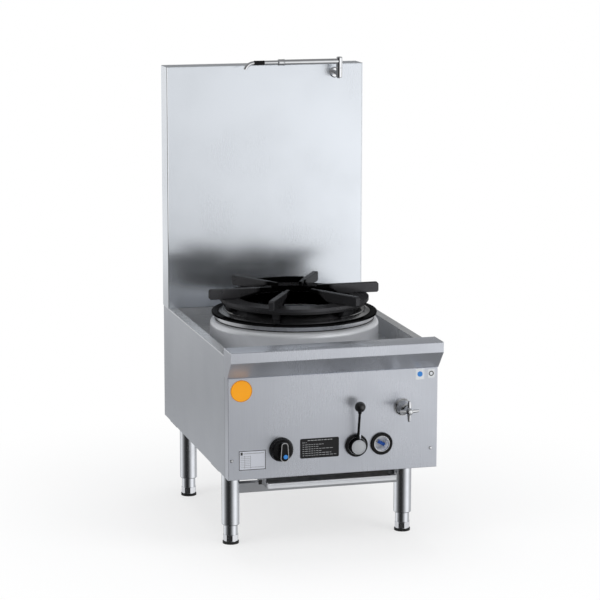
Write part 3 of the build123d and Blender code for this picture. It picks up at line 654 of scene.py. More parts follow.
@dataclass(frozen=True)
class PlainCoat:
    """Plastic, paint or label film with a faint texture and handling marks.

    Attributes:
        name: The material's name.
        tint: Colour of the surface.
        roughness: Middle roughness.
        worn: Colour that the handling marks tend to.
        texture_depth: Depth of the moulded texture in millimetres.
        metallic: How metallic the surface is.
        shine: How strongly it mirrors, where 0.5 is usual.
    """

    name: str
    tint: Color
    roughness: float
    worn: Color = (0.2, 0.2, 0.2)
    texture_depth: float = 0.02
    metallic: float = 0.0
    shine: float = 0.5

    def material(self, effects: SharedEffects) -> bpy.types.Material:
        """Build the material from the shared skin and smudges.

        Args:
            effects: The shared node groups.

        Returns:
            The new material.
        """
        material, shader, surface, place = new_material(self.name)
        skin = shader.group(effects.pits, Vector=place, Scale=1800.0)
        smudges = shader.group(effects.smudges, Vector=place, Scale=40.0)
        share = shader.math("MULTIPLY", smudges.outputs["Cloud"], 0.07)
        shader.join(shader.mix(share, self.tint, self.worn), surface.inputs["Base Color"])
        cloud = shader.math("MULTIPLY", smudges.outputs["Cloud"], 0.1)
        shader.join(shader.math("ADD", cloud, self.roughness - 0.04), surface.inputs["Roughness"])
        surface.inputs["Metallic"].default_value = self.metallic
        surface.inputs["Specular IOR Level"].default_value = self.shine
        shader.emboss(skin.outputs["Height"], 0.3, self.texture_depth * MM, surface)
        return material


Finish = BrushedSteel | PolishedMetal | CastSurface | PlainCoat


class FinishShelf:
    """Every finish of the range, made when first asked for."""

    def __init__(self, effects: SharedEffects, finishes: list[Finish]) -> None:
        """Keep the finishes by name.

        Args:
            effects: The shared node groups.
            finishes: The finishes to keep.
        """
        self.effects = effects
        self.finishes = {finish.name: finish for finish in finishes}
        self.made: dict[str, bpy.types.Material] = {}

    def get(self, name: str) -> bpy.types.Material:
        """The material of a finish."""
        if name not in self.made:
            self.made[name] = self.finishes[name].material(self.effects)
        return self.made[name]

    def dress(self, piece: bpy.types.Object, name: str) -> None:
        """Give a piece one finish all over."""
        if not piece.material_slots:
            piece.data.materials.append(self.get(name))
        for slot in piece.material_slots:
            slot.material = self.get(name)


# Painted near-black, partly sooting from the flame and partly painted shade: the collar inside, the lower ring's
# inner side, and the trivet's far wall and inside
COLLAR_SOOT_AND_SHADE = SootAndShadeZone(radius=0.2087, grey=0.004)
RING_SOOT_AND_SHADE = SootAndShadeZone(radius=0.2035, cone=(0.652, 0.741))
TRIVET_SOOT_AND_SHADE = SootAndShadeZone(radius=0.163, rim=(0.6478, 0.2165), arms=ArmsClearOfShade())

FINISHES: list[Finish] = [
    # Sheets of the body; the panel, side, deck and splash steels are lit and shaded copies of one stainless, each
    # tint set lighter or darker for how light falls on that sheet: painted light and shade
    BrushedSteel(
        "panel_steel", (0.665, 0.69, 0.748), 0.28, Grain.UPRIGHT, stroke_depth=0.004, anisotropy=0.75, metallic=0.84
    ),
    BrushedSteel("side_steel_shaded", (0.56, 0.585, 0.63), 0.34, Grain.BACKWARDS, metallic=0.82),
    BrushedSteel("deck_steel", (0.64, 0.65, 0.665), 0.26, Grain.ACROSS, stroke_depth=0.003, metallic=0.78),
    BrushedSteel("tray_steel", (0.76, 0.775, 0.80), 0.32, Grain.ACROSS, stroke_depth=0.003, metallic=0.4),
    BrushedSteel(
        "splash_steel_lit", (0.80, 0.84, 0.895), 0.22, Grain.UPRIGHT,
        stroke_depth=0.0005, contrast=0.015, anisotropy=0.5, metallic=0.93,
    ),
    BrushedSteel("frame_steel", (0.50, 0.51, 0.53), 0.42, Grain.ACROSS),
    # Bright metal
    PolishedMetal("spun_steel", (0.86, 0.875, 0.91), 0.32, smudge=0.02, metallic=0.62, soot_and_shade=COLLAR_SOOT_AND_SHADE),
    PolishedMetal("lip_steel", (0.82, 0.835, 0.87), 0.20, smudge=0.02, soot_and_shade=COLLAR_SOOT_AND_SHADE),
    PolishedMetal("satin_trim", (0.72, 0.74, 0.78), 0.30, smudge=0.03),
    # Brighter and more polished than the sheets it lies on: a painted highlight along the rounded folds
    PolishedMetal("fold_highlight", (0.92, 0.94, 0.97), 0.12, smudge=0.03),
    PolishedMetal("turned_face", (0.66, 0.68, 0.71), 0.34),
    PolishedMetal("leg_steel", (0.79, 0.81, 0.85), 0.16, smudge=0.03),
    PolishedMetal("foot_steel", (0.72, 0.73, 0.76), 0.22),
    PolishedMetal("chrome", (0.86, 0.87, 0.89), 0.05, smudge=0.04),
    PolishedMetal("bright_tube", (0.95, 0.96, 0.98), 0.35, tarnish=(0.8, 0.8, 0.8), metallic=0.15),
    PolishedMetal("silver_trim", (0.78, 0.78, 0.79), 0.25),
    PolishedMetal("brass", (0.72, 0.53, 0.25), 0.28, tarnish=(0.35, 0.24, 0.12)),
    PolishedMetal("copper", (0.72, 0.40, 0.26), 0.28, tarnish=(0.30, 0.16, 0.10)),
    PolishedMetal("pipe_steel", (0.46, 0.47, 0.49), 0.38, smudge=0.2),
    # Cast iron
    CastSurface(
        "enamel", (0.03, 0.03, 0.031), (0.026, 0.026, 0.027), 0.15,
        pit_depth=0.02, pit_scale=160.0, edge=0.28, soot_and_shade=RING_SOOT_AND_SHADE, bare=(0.8, 0.6056),
    ),
    CastSurface(
        "black_iron", (0.08, 0.08, 0.085), (0.055, 0.055, 0.058), 0.22,
        pit_depth=0.05, pit_scale=700.0, soot_and_shade=TRIVET_SOOT_AND_SHADE, metallic=0.72,
    ),
    CastSurface(
        "burner_iron", (0.010, 0.0095, 0.009), (0.005, 0.005, 0.005), 0.5,
        pit_depth=0.35, pit_scale=600.0, edge=0.05,
    ),
    # Plastic, paint, film and ink
    PlainCoat("black_plastic", (0.004, 0.004, 0.0045), 0.28, worn=(0.02, 0.02, 0.02), shine=0.22),
    PlainCoat("black_gloss", (0.006, 0.006, 0.0065), 0.12, worn=(0.02, 0.02, 0.02), shine=0.8),
    PlainCoat("black_rubber", (0.010, 0.010, 0.010), 0.6),
    PlainCoat("black_plate", (0.009, 0.009, 0.010), 0.35, worn=(0.04, 0.04, 0.04), texture_depth=0.01, shine=0.3),
    PlainCoat("silver_plate", (0.66, 0.68, 0.74), 0.4, worn=(0.6, 0.61, 0.64), metallic=0.35),
    PlainCoat("orange_enamel", (0.93, 0.37, 0.01), 0.35, worn=(0.85, 0.45, 0.1), shine=0.25),
    PlainCoat("orange_rim", (0.62, 0.22, 0.005), 0.35, worn=(0.5, 0.25, 0.05), shine=0.25),
    PlainCoat("label_film", (0.72, 0.74, 0.76), 0.45, worn=(0.6, 0.6, 0.6)),
    PlainCoat("ink_light", (0.45, 0.46, 0.47), 0.5, worn=(0.3, 0.3, 0.3)),
    PlainCoat("ink_grey", (0.22, 0.22, 0.23), 0.5, worn=(0.3, 0.3, 0.3)),
    PlainCoat("ink_dark", (0.03, 0.03, 0.032), 0.5),
    PlainCoat("pale_ceramic", (0.94, 0.95, 0.97), 0.35, worn=(0.7, 0.7, 0.72)),
    PlainCoat("blue_mark", (0.03, 0.22, 0.62), 0.4, worn=(0.1, 0.3, 0.6)),
    PlainCoat("blue_sleeve", (0.02, 0.13, 0.60), 0.3, worn=(0.05, 0.15, 0.5)),
]

CORNERS = [f"{end}_{side}" for end in ("front", "rear") for side in ("left", "right")]

NODE_FINISHES: dict[str, list[str]] = {
    "panel_steel": ["control_panel", "front_rail"],
    "tray_steel": ["drip_tray"],
    "side_steel_shaded": ["left_side_panel", "right_side_panel", "rear_panel"],
    "deck_steel": ["hob_deck"],
    "splash_steel_lit": ["splashback_back", "splashback_front"],
    "frame_steel": ["base_frame", "leg_mount_plates", "leg_crossbars", "tray_runners", "burner_bracket"],
    "spun_steel": ["burner_collar"],
    "lip_steel": ["lip_ring"],
    "leg_steel": [f"{kind}_{corner}" for kind in ("leg", "foot") for corner in CORNERS],
    "chrome": [
        "tap_bonnet", "tap_spindle", "tap_handle", "panel_screws",
        "faucet_flange", "faucet_body", "faucet_arm", "spout_tube",
    ],
    "bright_tube": ["sight_tube"],
    "silver_trim": ["knob_trim"],
    "brass": ["injector", "tap_valve", "pilot_gas_valve", "main_gas_cock"],
    "copper": ["pilot_burner", "water_inlet_pipe", "water_riser_pipe"],
    "pipe_steel": ["gas_manifold", "injector_pipe", "knob_shaft", "igniter_rod"],
    "enamel": ["lower_ring"],
    "black_iron": ["trivet"],
    "burner_iron": ["burner_body", "burner_cap"],
    "black_plastic": ["knob_body", "lever_bezel", "lever_hub", "lever_rod", "sight_bezel", "spout_sleeve"],
    "black_gloss": ["lever_ball"],
    "black_plate": ["instruction_plate"],
    "silver_plate": ["rating_plate"],
    "orange_enamel": ["badge_disc"],
    "label_film": ["panel_stickers"],
}


@dataclass(frozen=True)
class Lamp:
    """A soft square lamp that metal doesn't mirror.

    Attributes:
        name: Its name.
        place: Where it hangs, in metres.
        width: Its width in metres.
        power: Its power in watts.
        aim: The point that it faces, in metres.
    """

    name: str
    place: Point
    width: float
    power: float
    aim: Point = (0.0, 0.0, 0.6)

    def hang(self) -> None:
        """Hang the lamp in the scene."""
        data = bpy.data.lights.new(self.name, "AREA")
        data.shape = "SQUARE"
        data.size = self.width
        data.energy = self.power
        lamp = bpy.data.objects.new(self.name, data)
        bpy.context.scene.collection.objects.link(lamp)
        lamp.location = self.place
        lamp.visible_glossy = False
        lamp.rotation_mode = "QUATERNION"
        lamp.rotation_quaternion = (Vector(self.aim) - Vector(self.place)).to_track_quat("-Z", "Y")


@dataclass(frozen=True)
class Viewpoint:
    """The camera.

    Attributes:
        place: Where it stands, in metres.
        yaw: Turn of its view from +Y towards +X, in degrees.
        pitch: Tilt of its view below the horizon, in degrees.
        roll: Turn of its picture, in degrees.
        lens: Focal length in millimetres.
        sensor: Width of its sensor in millimetres.
        sight: How far it sees, in metres.
    """

    place: Point = (-1.798, -6.503, 1.915)
    yaw: float = 15.527
    pitch: float = 10.706
    roll: float = 0.096
    lens: float = 143.78
    sensor: float = 36.0
    sight: float = 200.0

    def stand(self) -> None:
        """Stand the camera where the range shows as it should."""
        yaw, pitch, roll = (math.radians(angle) for angle in (self.yaw, self.pitch, self.roll))
        ahead = Vector((math.sin(yaw) * math.cos(pitch), math.cos(yaw) * math.cos(pitch), -math.sin(pitch)))
        right = Vector((math.cos(yaw), -math.sin(yaw), 0.0))
        above = right.cross(ahead)
        turned_right = right * math.cos(roll) + above * math.sin(roll)
        turned_above = above * math.cos(roll) - right * math.sin(roll)
        data = bpy.data.cameras.new("camera")
        data.lens = self.lens
        data.sensor_width = self.sensor
        data.clip_end = self.sight
        camera = bpy.data.objects.new("camera", data)
        bpy.context.scene.collection.objects.link(camera)
        axes = Matrix((turned_right, turned_above, -ahead)).transposed().to_4x4()
        camera.matrix_world = Matrix.Translation(self.place) @ axes
        bpy.context.scene.camera = camera


@dataclass(frozen=True)
class Studio:
    """The pale room and floor with soft lamps, which metal mirrors as a studio of its own.

    A rise is the height part of a direction, from -1 straight down to 1 straight up, and a depth is its part towards
    the back. Each pair of limits says where a change begins and where it ends.

    Attributes:
        ambient: Light of the room on matt surfaces.
        ambient_tint: Its colour.
        mirror_tint: Colour of all that metal mirrors in the room.
        around: Brightness of what metal mirrors, by direction round the range from -Y towards +X, in degrees.
        far_turn: How far that is turned to the left for level directions and for the far floor, in degrees.
        near_turn: How far it is turned for the near floor, in degrees.
        turn_rise: Rises over which the turn of the room grows from nothing.
        back_dimming: How much darker the room is behind the range.
        back_depth: Depths over which it gets so.
        back_rise: Rises over which it gets so.
        low_share: Share of the brightness that is left straight below.
        low_rise: Rises over which the rest comes back.
        overhead: Brightness straight above.
        overhead_rise: Rises over which the brightness changes to that.
        floor_tint: Colour of the floor.
        floor_roughness: Its roughness.
        floor_reach: Half its width, in metres.
        floor_white: Share of plain white that the camera sees in it near the range.
        floor_fade: Distances over which that share grows to all, in metres.
        glow_start: Distances over which metal begins to mirror the floor, in metres.
        glow_turn: Distances over which its turn changes from near to far.
        glow_gain: Distances over which its brightness changes from near to far.
        near_gain: How much brighter than the room the near floor is.
        far_gain: How much brighter than the room the far floor is.
        glow_back: Distances over which the floor behind the range takes a brightness of its own.
        back_glows: For that floor, distances and the brightnesses which are added between them.
        lamps: The lamps.
    """

    ambient: float = 0.62
    ambient_tint: Color = (0.98, 0.99, 1.0)
    mirror_tint: Color = (0.985, 0.992, 1.0)
    around: tuple[tuple[float, float], ...] = (
        (-180.0, 0.50), (-162.0, 0.46), (-150.0, 0.70), (-141.0, 0.88), (-120.0, 0.91), (-101.0, 0.56),
        (-85.0, 0.27), (-71.0, 0.11), (-58.0, 0.05), (-45.0, 0.025), (-33.0, 0.025), (-20.0, 0.04),
        (-8.0, 0.10), (4.0, 0.27), (17.0, 0.54), (30.0, 0.87), (43.0, 1.11), (58.0, 1.09),
        (73.0, 0.84), (93.0, 0.49), (117.0, 0.50), (140.0, 0.80), (160.0, 0.60), (180.0, 0.50),
    )
    far_turn: float = 12.0
    near_turn: float = 10.0
    turn_rise: tuple[float, float] = (-0.12, 0.0)
    back_dimming: float = 0.45
    back_depth: tuple[float, float] = (0.3, 0.7)
    back_rise: tuple[float, float] = (-0.02, 0.08)
    low_share: float = 0.25
    low_rise: tuple[float, float] = (-0.75, -0.3)
    overhead: float = 0.24
    overhead_rise: tuple[float, float] = (0.2, 0.75)
    floor_tint: Color = (0.93, 0.93, 0.935)
    floor_roughness: float = 0.9
    floor_reach: float = 60.0
    floor_white: float = 0.65
    floor_fade: tuple[float, float] = (0.4, 1.4)
    glow_start: tuple[float, float] = (1.2, 1.9)
    glow_turn: tuple[float, float] = (1.5, 4.5)
    glow_gain: tuple[float, float] = (1.2, 5.0)
    near_gain: float = 0.86
    far_gain: float = 1.22
    glow_back: tuple[float, float] = (0.0, 0.9)
    back_glows: tuple[tuple[tuple[float, float], tuple[float, float]], ...] = (
        ((1.0, 3.2), (0.36, 0.58)),
        ((3.2, 5.0), (0.0, 0.3)),
    )
    lamps: tuple[Lamp, ...] = (
        Lamp("key_lamp", (2.6, -3.4, 3.6), 2.4, 75.0),
        Lamp("fill_lamp", (-3.6, -1.6, 2.6), 2.6, 40.0),
        Lamp("top_lamp", (0.0, 0.6, 4.2), 2.2, 38.0, (0.0, 0.1, 0.6)),
    )

    def build(self) -> None:
        """Make the room, the floor and the lamps."""
        bpy.context.scene.view_settings.view_transform = "Standard"
        self._room_light()
        self._floor()
        for lamp in self.lamps:
            lamp.hang()

    def _room_light(self) -> None:
        """White for the camera, a studio for what metal mirrors, and even light for the rest."""
        world = bpy.data.worlds.new("room")
        world.use_nodes = True
        bpy.context.scene.world = world
        if hasattr(world, "cycles"):
            world.cycles.sampling_method = "NONE"
        shader = Shader(world.node_tree)
        x, y, z = shader.axes(shader.add("TexCoord").outputs["Generated"])
        shift = shader.remap(z, self.turn_rise, (0.0, self.far_turn))
        sides = self._by_bearing(shader, x, y, shift)
        behind = shader.math("MULTIPLY", shader.remap(y, self.back_depth, (0.0, 1.0)), self.back_dimming)
        behind = shader.math("MULTIPLY", behind, shader.remap(z, self.back_rise, (0.0, 1.0)))
        sides = shader.math("MULTIPLY", sides, shader.math("SUBTRACT", 1.0, behind))
        below = shader.remap(z, self.low_rise, (self.low_share, 1.0))
        above = shader.remap(z, self.overhead_rise, (0.0, 1.0))
        mirrored = shader.mix(above, shader.math("MULTIPLY", sides, below), (self.overhead,) * 3)
        mirror = shader.add("Background")
        shader.join(shader.mix(1.0, mirrored, self.mirror_tint, "MULTIPLY"), mirror.inputs["Color"])
        plain = shader.add("Background")
        plain.inputs["Color"].default_value = (*self.ambient_tint, 1.0)
        plain.inputs["Strength"].default_value = self.ambient
        white = world.node_tree.nodes["Background"]
        white.inputs["Color"].default_value = (1.0, 1.0, 1.0, 1.0)
        seen, in_metal = self._looks(shader)
        unseen = shader.choose(in_metal, plain.outputs[0], mirror.outputs[0])
        output = world.node_tree.nodes["World Output"]
        shader.join(shader.choose(seen, unseen, white.outputs[0]), output.inputs["Surface"])

    def _floor(self) -> None:
        """A pale floor that keeps the range's shadow and fades to white away from it."""
        clear_selection()
        bpy.ops.mesh.primitive_grid_add(x_subdivisions=8, y_subdivisions=8, size=2 * self.floor_reach)
        floor = bpy.context.object
        floor.name = "floor"
        material, shader, surface, place = new_material("pale_floor")
        surface.inputs["Base Color"].default_value = (*self.floor_tint, 1.0)
        surface.inputs["Roughness"].default_value = self.floor_roughness
        surface.inputs["Specular IOR Level"].default_value = 0.0
        away = shader.length(place)
        seen, in_metal = self._looks(shader)
        fade = shader.math("MULTIPLY", shader.remap(away, self.floor_fade, (self.floor_white, 1.0)), seen)
        to_white = shader.choose(fade, surface.outputs[0], shader.add("Emission").outputs[0])
        glow = shader.add("Emission")
        shader.join(self._floor_glow(shader, place, away), glow.inputs["Strength"])
        begun = shader.remap(away, self.glow_start, (0.0, 1.0))
        mirrored = shader.choose(begun, shader.add("BsdfTransparent").outputs[0], glow.outputs[0])
        output = material.node_tree.nodes["Material Output"]
        shader.join(shader.choose(in_metal, to_white, mirrored), output.inputs["Surface"])
        floor.data.materials.append(material)

    def _floor_glow(
        self, shader: Shader, place: bpy.types.NodeSocket, away: bpy.types.NodeSocket
    ) -> bpy.types.NodeSocket:
        """How bright metal sees the far floor.

        Args:
            shader: The floor's shader.
            place: The floor's object-space vector.
            away: The distance from the range.

        Returns:
            The brightness socket.
        """
        x, y, _ = shader.axes(place)
        shift = shader.remap(away, self.glow_turn, (self.near_turn, self.far_turn))
        gain = shader.remap(away, self.glow_gain, (self.near_gain, self.far_gain))
        ahead = shader.math("MULTIPLY", self._by_bearing(shader, x, y, shift), gain)
        first, second = (shader.remap(y, distances, glows) for distances, glows in self.back_glows)
        behind = shader.math("ADD", first, second)
        share = shader.remap(y, self.glow_back, (0.0, 1.0))
        change = shader.math("MULTIPLY", share, shader.math("SUBTRACT", behind, ahead))
        return shader.math("ADD", ahead, change)

    @staticmethod
    def _looks(shader: Shader) -> tuple[bpy.types.NodeSocket, bpy.types.NodeSocket]:
        """Whether the camera sees a place directly, and whether it is seen in metal or through glass."""
        path = shader.add("LightPath")
        in_metal = shader.math("MAXIMUM", path.outputs["Is Glossy Ray"], path.outputs["Is Transmission Ray"])
        return path.outputs["Is Camera Ray"], in_metal

    def _by_bearing(
        self, shader: Shader, x: bpy.types.NodeSocket, y: bpy.types.NodeSocket, shift: bpy.types.NodeSocket
    ) -> bpy.types.NodeSocket:
        """Brightness of the room by direction.

        Args:
            shader: The shader that asks.
            x: The direction towards the right.
            y: The direction towards the back.
            shift: How far the room is turned towards the left there, in degrees.

        Returns:
            The brightness socket.
        """
        bearing = shader.math("ARCTAN2", x, shader.math("MULTIPLY", y, -1.0))
        turn = shader.math("ADD", shader.math("DIVIDE", bearing, 2 * math.pi), 0.5)
        turned = shader.math("ADD", turn, shader.math("DIVIDE", shift, 360.0))
        highest = max(grey for _, grey in self.around)
        stops = [((angle + 180.0) / 360.0, grey / highest) for angle, grey in self.around]
        return shader.math("MULTIPLY", shader.ramp(turned, stops), highest)


# Modelling


def at(x: float, y: float, z: float) -> Vector:
    """A place in metres of the frame, from millimetres right of the middle, behind the panel's front and up."""
    return Vector((x, y + PANEL_FRONT, z)) * MM


def clear_selection() -> None:
    """Leave edit mode and deselect everything."""
    if bpy.context.object and bpy.context.object.mode != "OBJECT":
        bpy.ops.object.mode_set(mode="OBJECT")
    bpy.ops.object.select_all(action="DESELECT")


class Workpiece:
    """A primitive while it is shaped in edit mode into one finished piece.

    Its own +Z is its front, whichever way it faces in the frame.
    """

    def __init__(self, name: str) -> None:
        """Take the primitive that was just added.

        Args:
            name: The piece's name.
        """
        self.piece = bpy.context.object
        self.piece.name = name
        self.piece.data.name = name

    @classmethod
    def drum(
        cls, name: str, place: Vector, radius: float, length: float, turn: Euler, sides: int = 48
    ) -> "Workpiece":
        """Start from a solid drum.

        Args:
            name: The piece's name.
            place: The drum's middle, in metres.
            radius: Its radius in millimetres.
            length: Its length in millimetres.
            turn: How it is turned from standing upright.
            sides: Count of its sides.

        Returns:
            The new workpiece.
        """
        clear_selection()
        bpy.ops.mesh.primitive_cylinder_add(
            vertices=sides, radius=radius * MM, depth=length * MM, location=place, rotation=turn
        )
        return cls(name)

    @classmethod
    def band(
        cls, name: str, place: Vector, radii: tuple[float, float], length: float, turn: Euler, sides: int = 48
    ) -> "Workpiece":
        """Start from an open sleeve and give it a wall and soft edges.

        Args:
            name: The piece's name.
            place: The band's middle, in metres.
            radii: Its inner and outer radius in millimetres.
            length: Its length in millimetres.
            turn: How it is turned from standing upright.
            sides: Count of its sides.

        Returns:
            The new workpiece.
        """
        clear_selection()
        bpy.ops.mesh.primitive_cylinder_add(
            vertices=sides, radius=radii[1] * MM, depth=length * MM, location=place, rotation=turn,
            end_fill_type="NOTHING",
        )
        work = cls(name)
        wall = radii[1] - radii[0]
        work.modify("SOLIDIFY", thickness=wall * MM, offset=-1.0, use_even_offset=True)
        work.modify("BEVEL", width=0.25 * min(wall, length) * MM, segments=2, limit_method="ANGLE")
        return work

    @classmethod
    def ring(
        cls,
        name: str,
        place: Vector,
        radius: float,
        thickness: float,
        turn: Euler,
        detail: tuple[int, int] = (64, 10),
    ) -> "Workpiece":
        """Start from a round ring.

        Args:
            name: The piece's name.
            place: The ring's middle, in metres.
            radius: Radius of its middle line in millimetres.
            thickness: Thickness of its wire in millimetres.
            turn: How it is turned from lying flat.
            detail: Count of faces round the ring and round its wire.

        Returns:
            The new workpiece.
        """
        clear_selection()
        bpy.ops.mesh.primitive_torus_add(
            location=place, rotation=turn, major_radius=radius * MM, minor_radius=thickness / 2 * MM,
            major_segments=detail[0], minor_segments=detail[1],
        )
        return cls(name)

    @classmethod
    def bar(cls, name: str, low: Vector, high: Vector, edge: float = 0.2) -> "Workpiece":
        """Start from a block between two corners and round its edges.

        Args:
            name: The piece's name.
            low: Its lowest corner, in metres.
            high: Its highest corner, in metres.
            edge: Width of its rounded edges in millimetres.

        Returns:
            The new workpiece.
        """
        clear_selection()
        bpy.ops.mesh.primitive_cube_add(size=1.0, location=(low + high) / 2, scale=high - low)
        bpy.ops.object.transform_apply(location=False, rotation=False, scale=True)
        work = cls(name)
        work.modify("BEVEL", width=edge * MM, segments=2, limit_method="ANGLE")
        return work

    def modify(self, kind: str, **settings: object) -> None:
        """Add a modifier and apply it."""
        modifier = self.piece.modifiers.new(kind.lower(), kind)
        for name, value in settings.items():
            setattr(modifier, name, value)
        bpy.ops.object.modifier_apply(modifier=modifier.name)

    def pick(self, test: Callable[[Vector, Vector], bool]) -> "Workpiece":
        """Select faces in edit mode.

        Args:
            test: Says from a face's middle in millimetres and its normal, both of the piece's own, if it is wanted.

        Returns:
            The same workpiece.
        """
        if self.piece.mode != "EDIT":
            bpy.ops.object.mode_set(mode="EDIT")
        bpy.ops.mesh.select_mode(type="FACE")
        bpy.ops.mesh.select_all(action="DESELECT")
        mesh = bmesh.from_edit_mesh(self.piece.data)
        for face in mesh.faces:
            face.select_set(test(face.calc_center_median() / MM, face.normal))
        bmesh.update_edit_mesh(self.piece.data)
        return self

    def terrace(self, steps: list[tuple[float, float]]) -> "Workpiece":
        """Step the picked faces inwards and outwards in turn.

        Args:
            steps: For each step, how much narrower and how much further out it is, in millimetres.

        Returns:
            The same workpiece.
        """
        for narrower, rise in steps:
            bpy.ops.mesh.inset(thickness=narrower * MM, depth=rise * MM, use_even_offset=True)
        return self

    def front(self, steps: list[tuple[float, float]]) -> "Workpiece":
        """Step the front end."""
        return self.pick(lambda middle, normal: normal.z > 0.9).terrace(steps)

    def back(self, steps: list[tuple[float, float]]) -> "Workpiece":
        """Step the back end."""
        return self.pick(lambda middle, normal: normal.z < -0.9).terrace(steps)

    def settle(self, smooth: float = 35.0) -> bpy.types.Object:
        """Put the piece's place into its mesh and shade it.

        Args:
            smooth: Edges flatter than this many degrees are shaded smooth.

        Returns:
            The finished object.
        """
        clear_selection()
        self.piece.select_set(True)
        bpy.context.view_layer.objects.active = self.piece
        bpy.ops.object.transform_apply(location=True, rotation=True, scale=True)
        bpy.ops.object.shade_smooth_by_angle(angle=math.radians(smooth))
        return self.piece


def repeated(piece: bpy.types.Object, moves: list[Matrix]) -> list[bpy.types.Object]:
    """Copy a finished piece, each copy with its own mesh.

    Args:
        piece: The piece to copy.
        moves: Where each copy goes from where the piece is.

    Returns:
        The copies, without the piece itself.
    """
    copies = []
    for move in moves:
        copy = piece.copy()
        copy.data = piece.data.copy()
        bpy.context.scene.collection.objects.link(copy)
        copy.data.transform(move)
        copies.append(copy)
    return copies


def joined(pieces: list[bpy.types.Object], name: str) -> bpy.types.Object:
    """Join finished pieces into one.

    Args:
        pieces: The pieces to join.
        name: The name of the whole.

    Returns:
        The joined object.
    """
    clear_selection()
    for piece in pieces:
        piece.select_set(True)
    bpy.context.view_layer.objects.active = pieces[0]
    bpy.ops.object.join()
    pieces[0].name = name
    pieces[0].data.name = name
    return pieces[0]


def spun(piece: bpy.types.Object, count: int, centre: Vector, axis: str, name: str) -> bpy.types.Object:
    """Repeat a piece evenly round an axis and join the row.

    Args:
        piece: The piece to repeat.
        count: How many there are in all.
        centre: A point on the axis, in metres.
        axis: The axis, as X, Y or Z.
        name: The name of the whole.

    Returns:
        The joined object.
    """
    moves = []
    for index in range(1, count):
        turn = Matrix.Rotation(2 * math.pi * index / count, 4, axis)
        moves.append(Matrix.Translation(centre) @ turn @ Matrix.Translation(-centre))
    return joined([piece, *repeated(piece, moves)], name)


# Sub-assemblies


@dataclass
class SubAssembly:
    """Fine pieces of one part of the range.

    Attributes:
        shelf: The finishes.
    """

    shelf: FinishShelf

    def build(self) -> None:
        """Make the pieces."""
        raise NotImplementedError

    def fit(self, piece: bpy.types.Object, finish: str, slot: str, body: str) -> None:
        """Dress a finished piece and let it ride on its body.

        Args:
            piece: The piece.
            finish: Name of its finish.
            slot: The record's slot that the finish belongs to; not used.
            body: The body that carries it.
        """
        self.shelf.dress(piece, finish)
        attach(piece, body)
        LOG.info("%s made in %s on %s", piece.name, finish, body)


@dataclass
class PilotKnob(SubAssembly):
    """The pilot's knob: the ribs of its skirt, its mark, the crest round its face and its backing ring.

    Attributes:
        middle: Its place across and up.
        skirt: Radius of the skirt.
        rib_count: Count of ribs round the skirt.
        rib_half: Half the width of a rib, and half its height over the skirt.
        rib_span: Where a rib begins and ends, behind the panel's front.
        mark_place: Place of the mark from the middle, across and up.
        mark_radius: Radius of the mark.
        crest_radius: Radius of the crest's middle line.
        backing_radii: Inner and outer radius of the backing ring.
    """

    middle: tuple[float, float] = (-149.6, 302.0)
    skirt: float = 31.0
    rib_count: int = 40
    rib_half: tuple[float, float] = (0.9, 0.6)
    rib_span: tuple[float, float] = (-13.5, -6.0)
    mark_place: tuple[float, float] = (2.3, -12.0)
    mark_radius: float = 6.0
    crest_radius: float = 24.8
    backing_radii: tuple[float, float] = (31.9, 33.5)

    def build(self) -> None:
        """Make the ribs, the mark, the crest and the backing ring."""
        x, z = self.middle
        across, up = self.rib_half
        front, back = self.rib_span
        low = at(x - across, front, z + self.skirt - up)
        high = at(x + across, back, z + self.skirt + up)
        rib = Workpiece.bar("knob_rib", low, high, 0.35).settle()
        ribs = spun(rib, self.rib_count, at(x, 0, z), "Y", "knob_ribs")
        self.fit(ribs, "black_gloss", "black_plastic", "pilot_knob")
        across, up = self.mark_place
        mark = Workpiece.drum("knob_mark", at(x + across, -40.3, z + up), self.mark_radius, 0.8, FORWARD)
        mark.front([(0.4, 0.25), (0.5, 0.1)])
        self.fit(mark.settle(), "blue_mark", "blue_sleeve", "pilot_knob")
        crest = Workpiece.ring("knob_crest", at(x, -20.2, z), self.crest_radius, 1.8, FORWARD, (64, 8))
        self.fit(crest.settle(), "black_gloss", "black_plastic", "pilot_knob")
        ring = Workpiece.band("knob_backing", at(x, -2.2, z), self.backing_radii, 4.2, FORWARD, 64)
        self.fit(ring.settle(), "black_plastic", "black_plastic", "range_body")


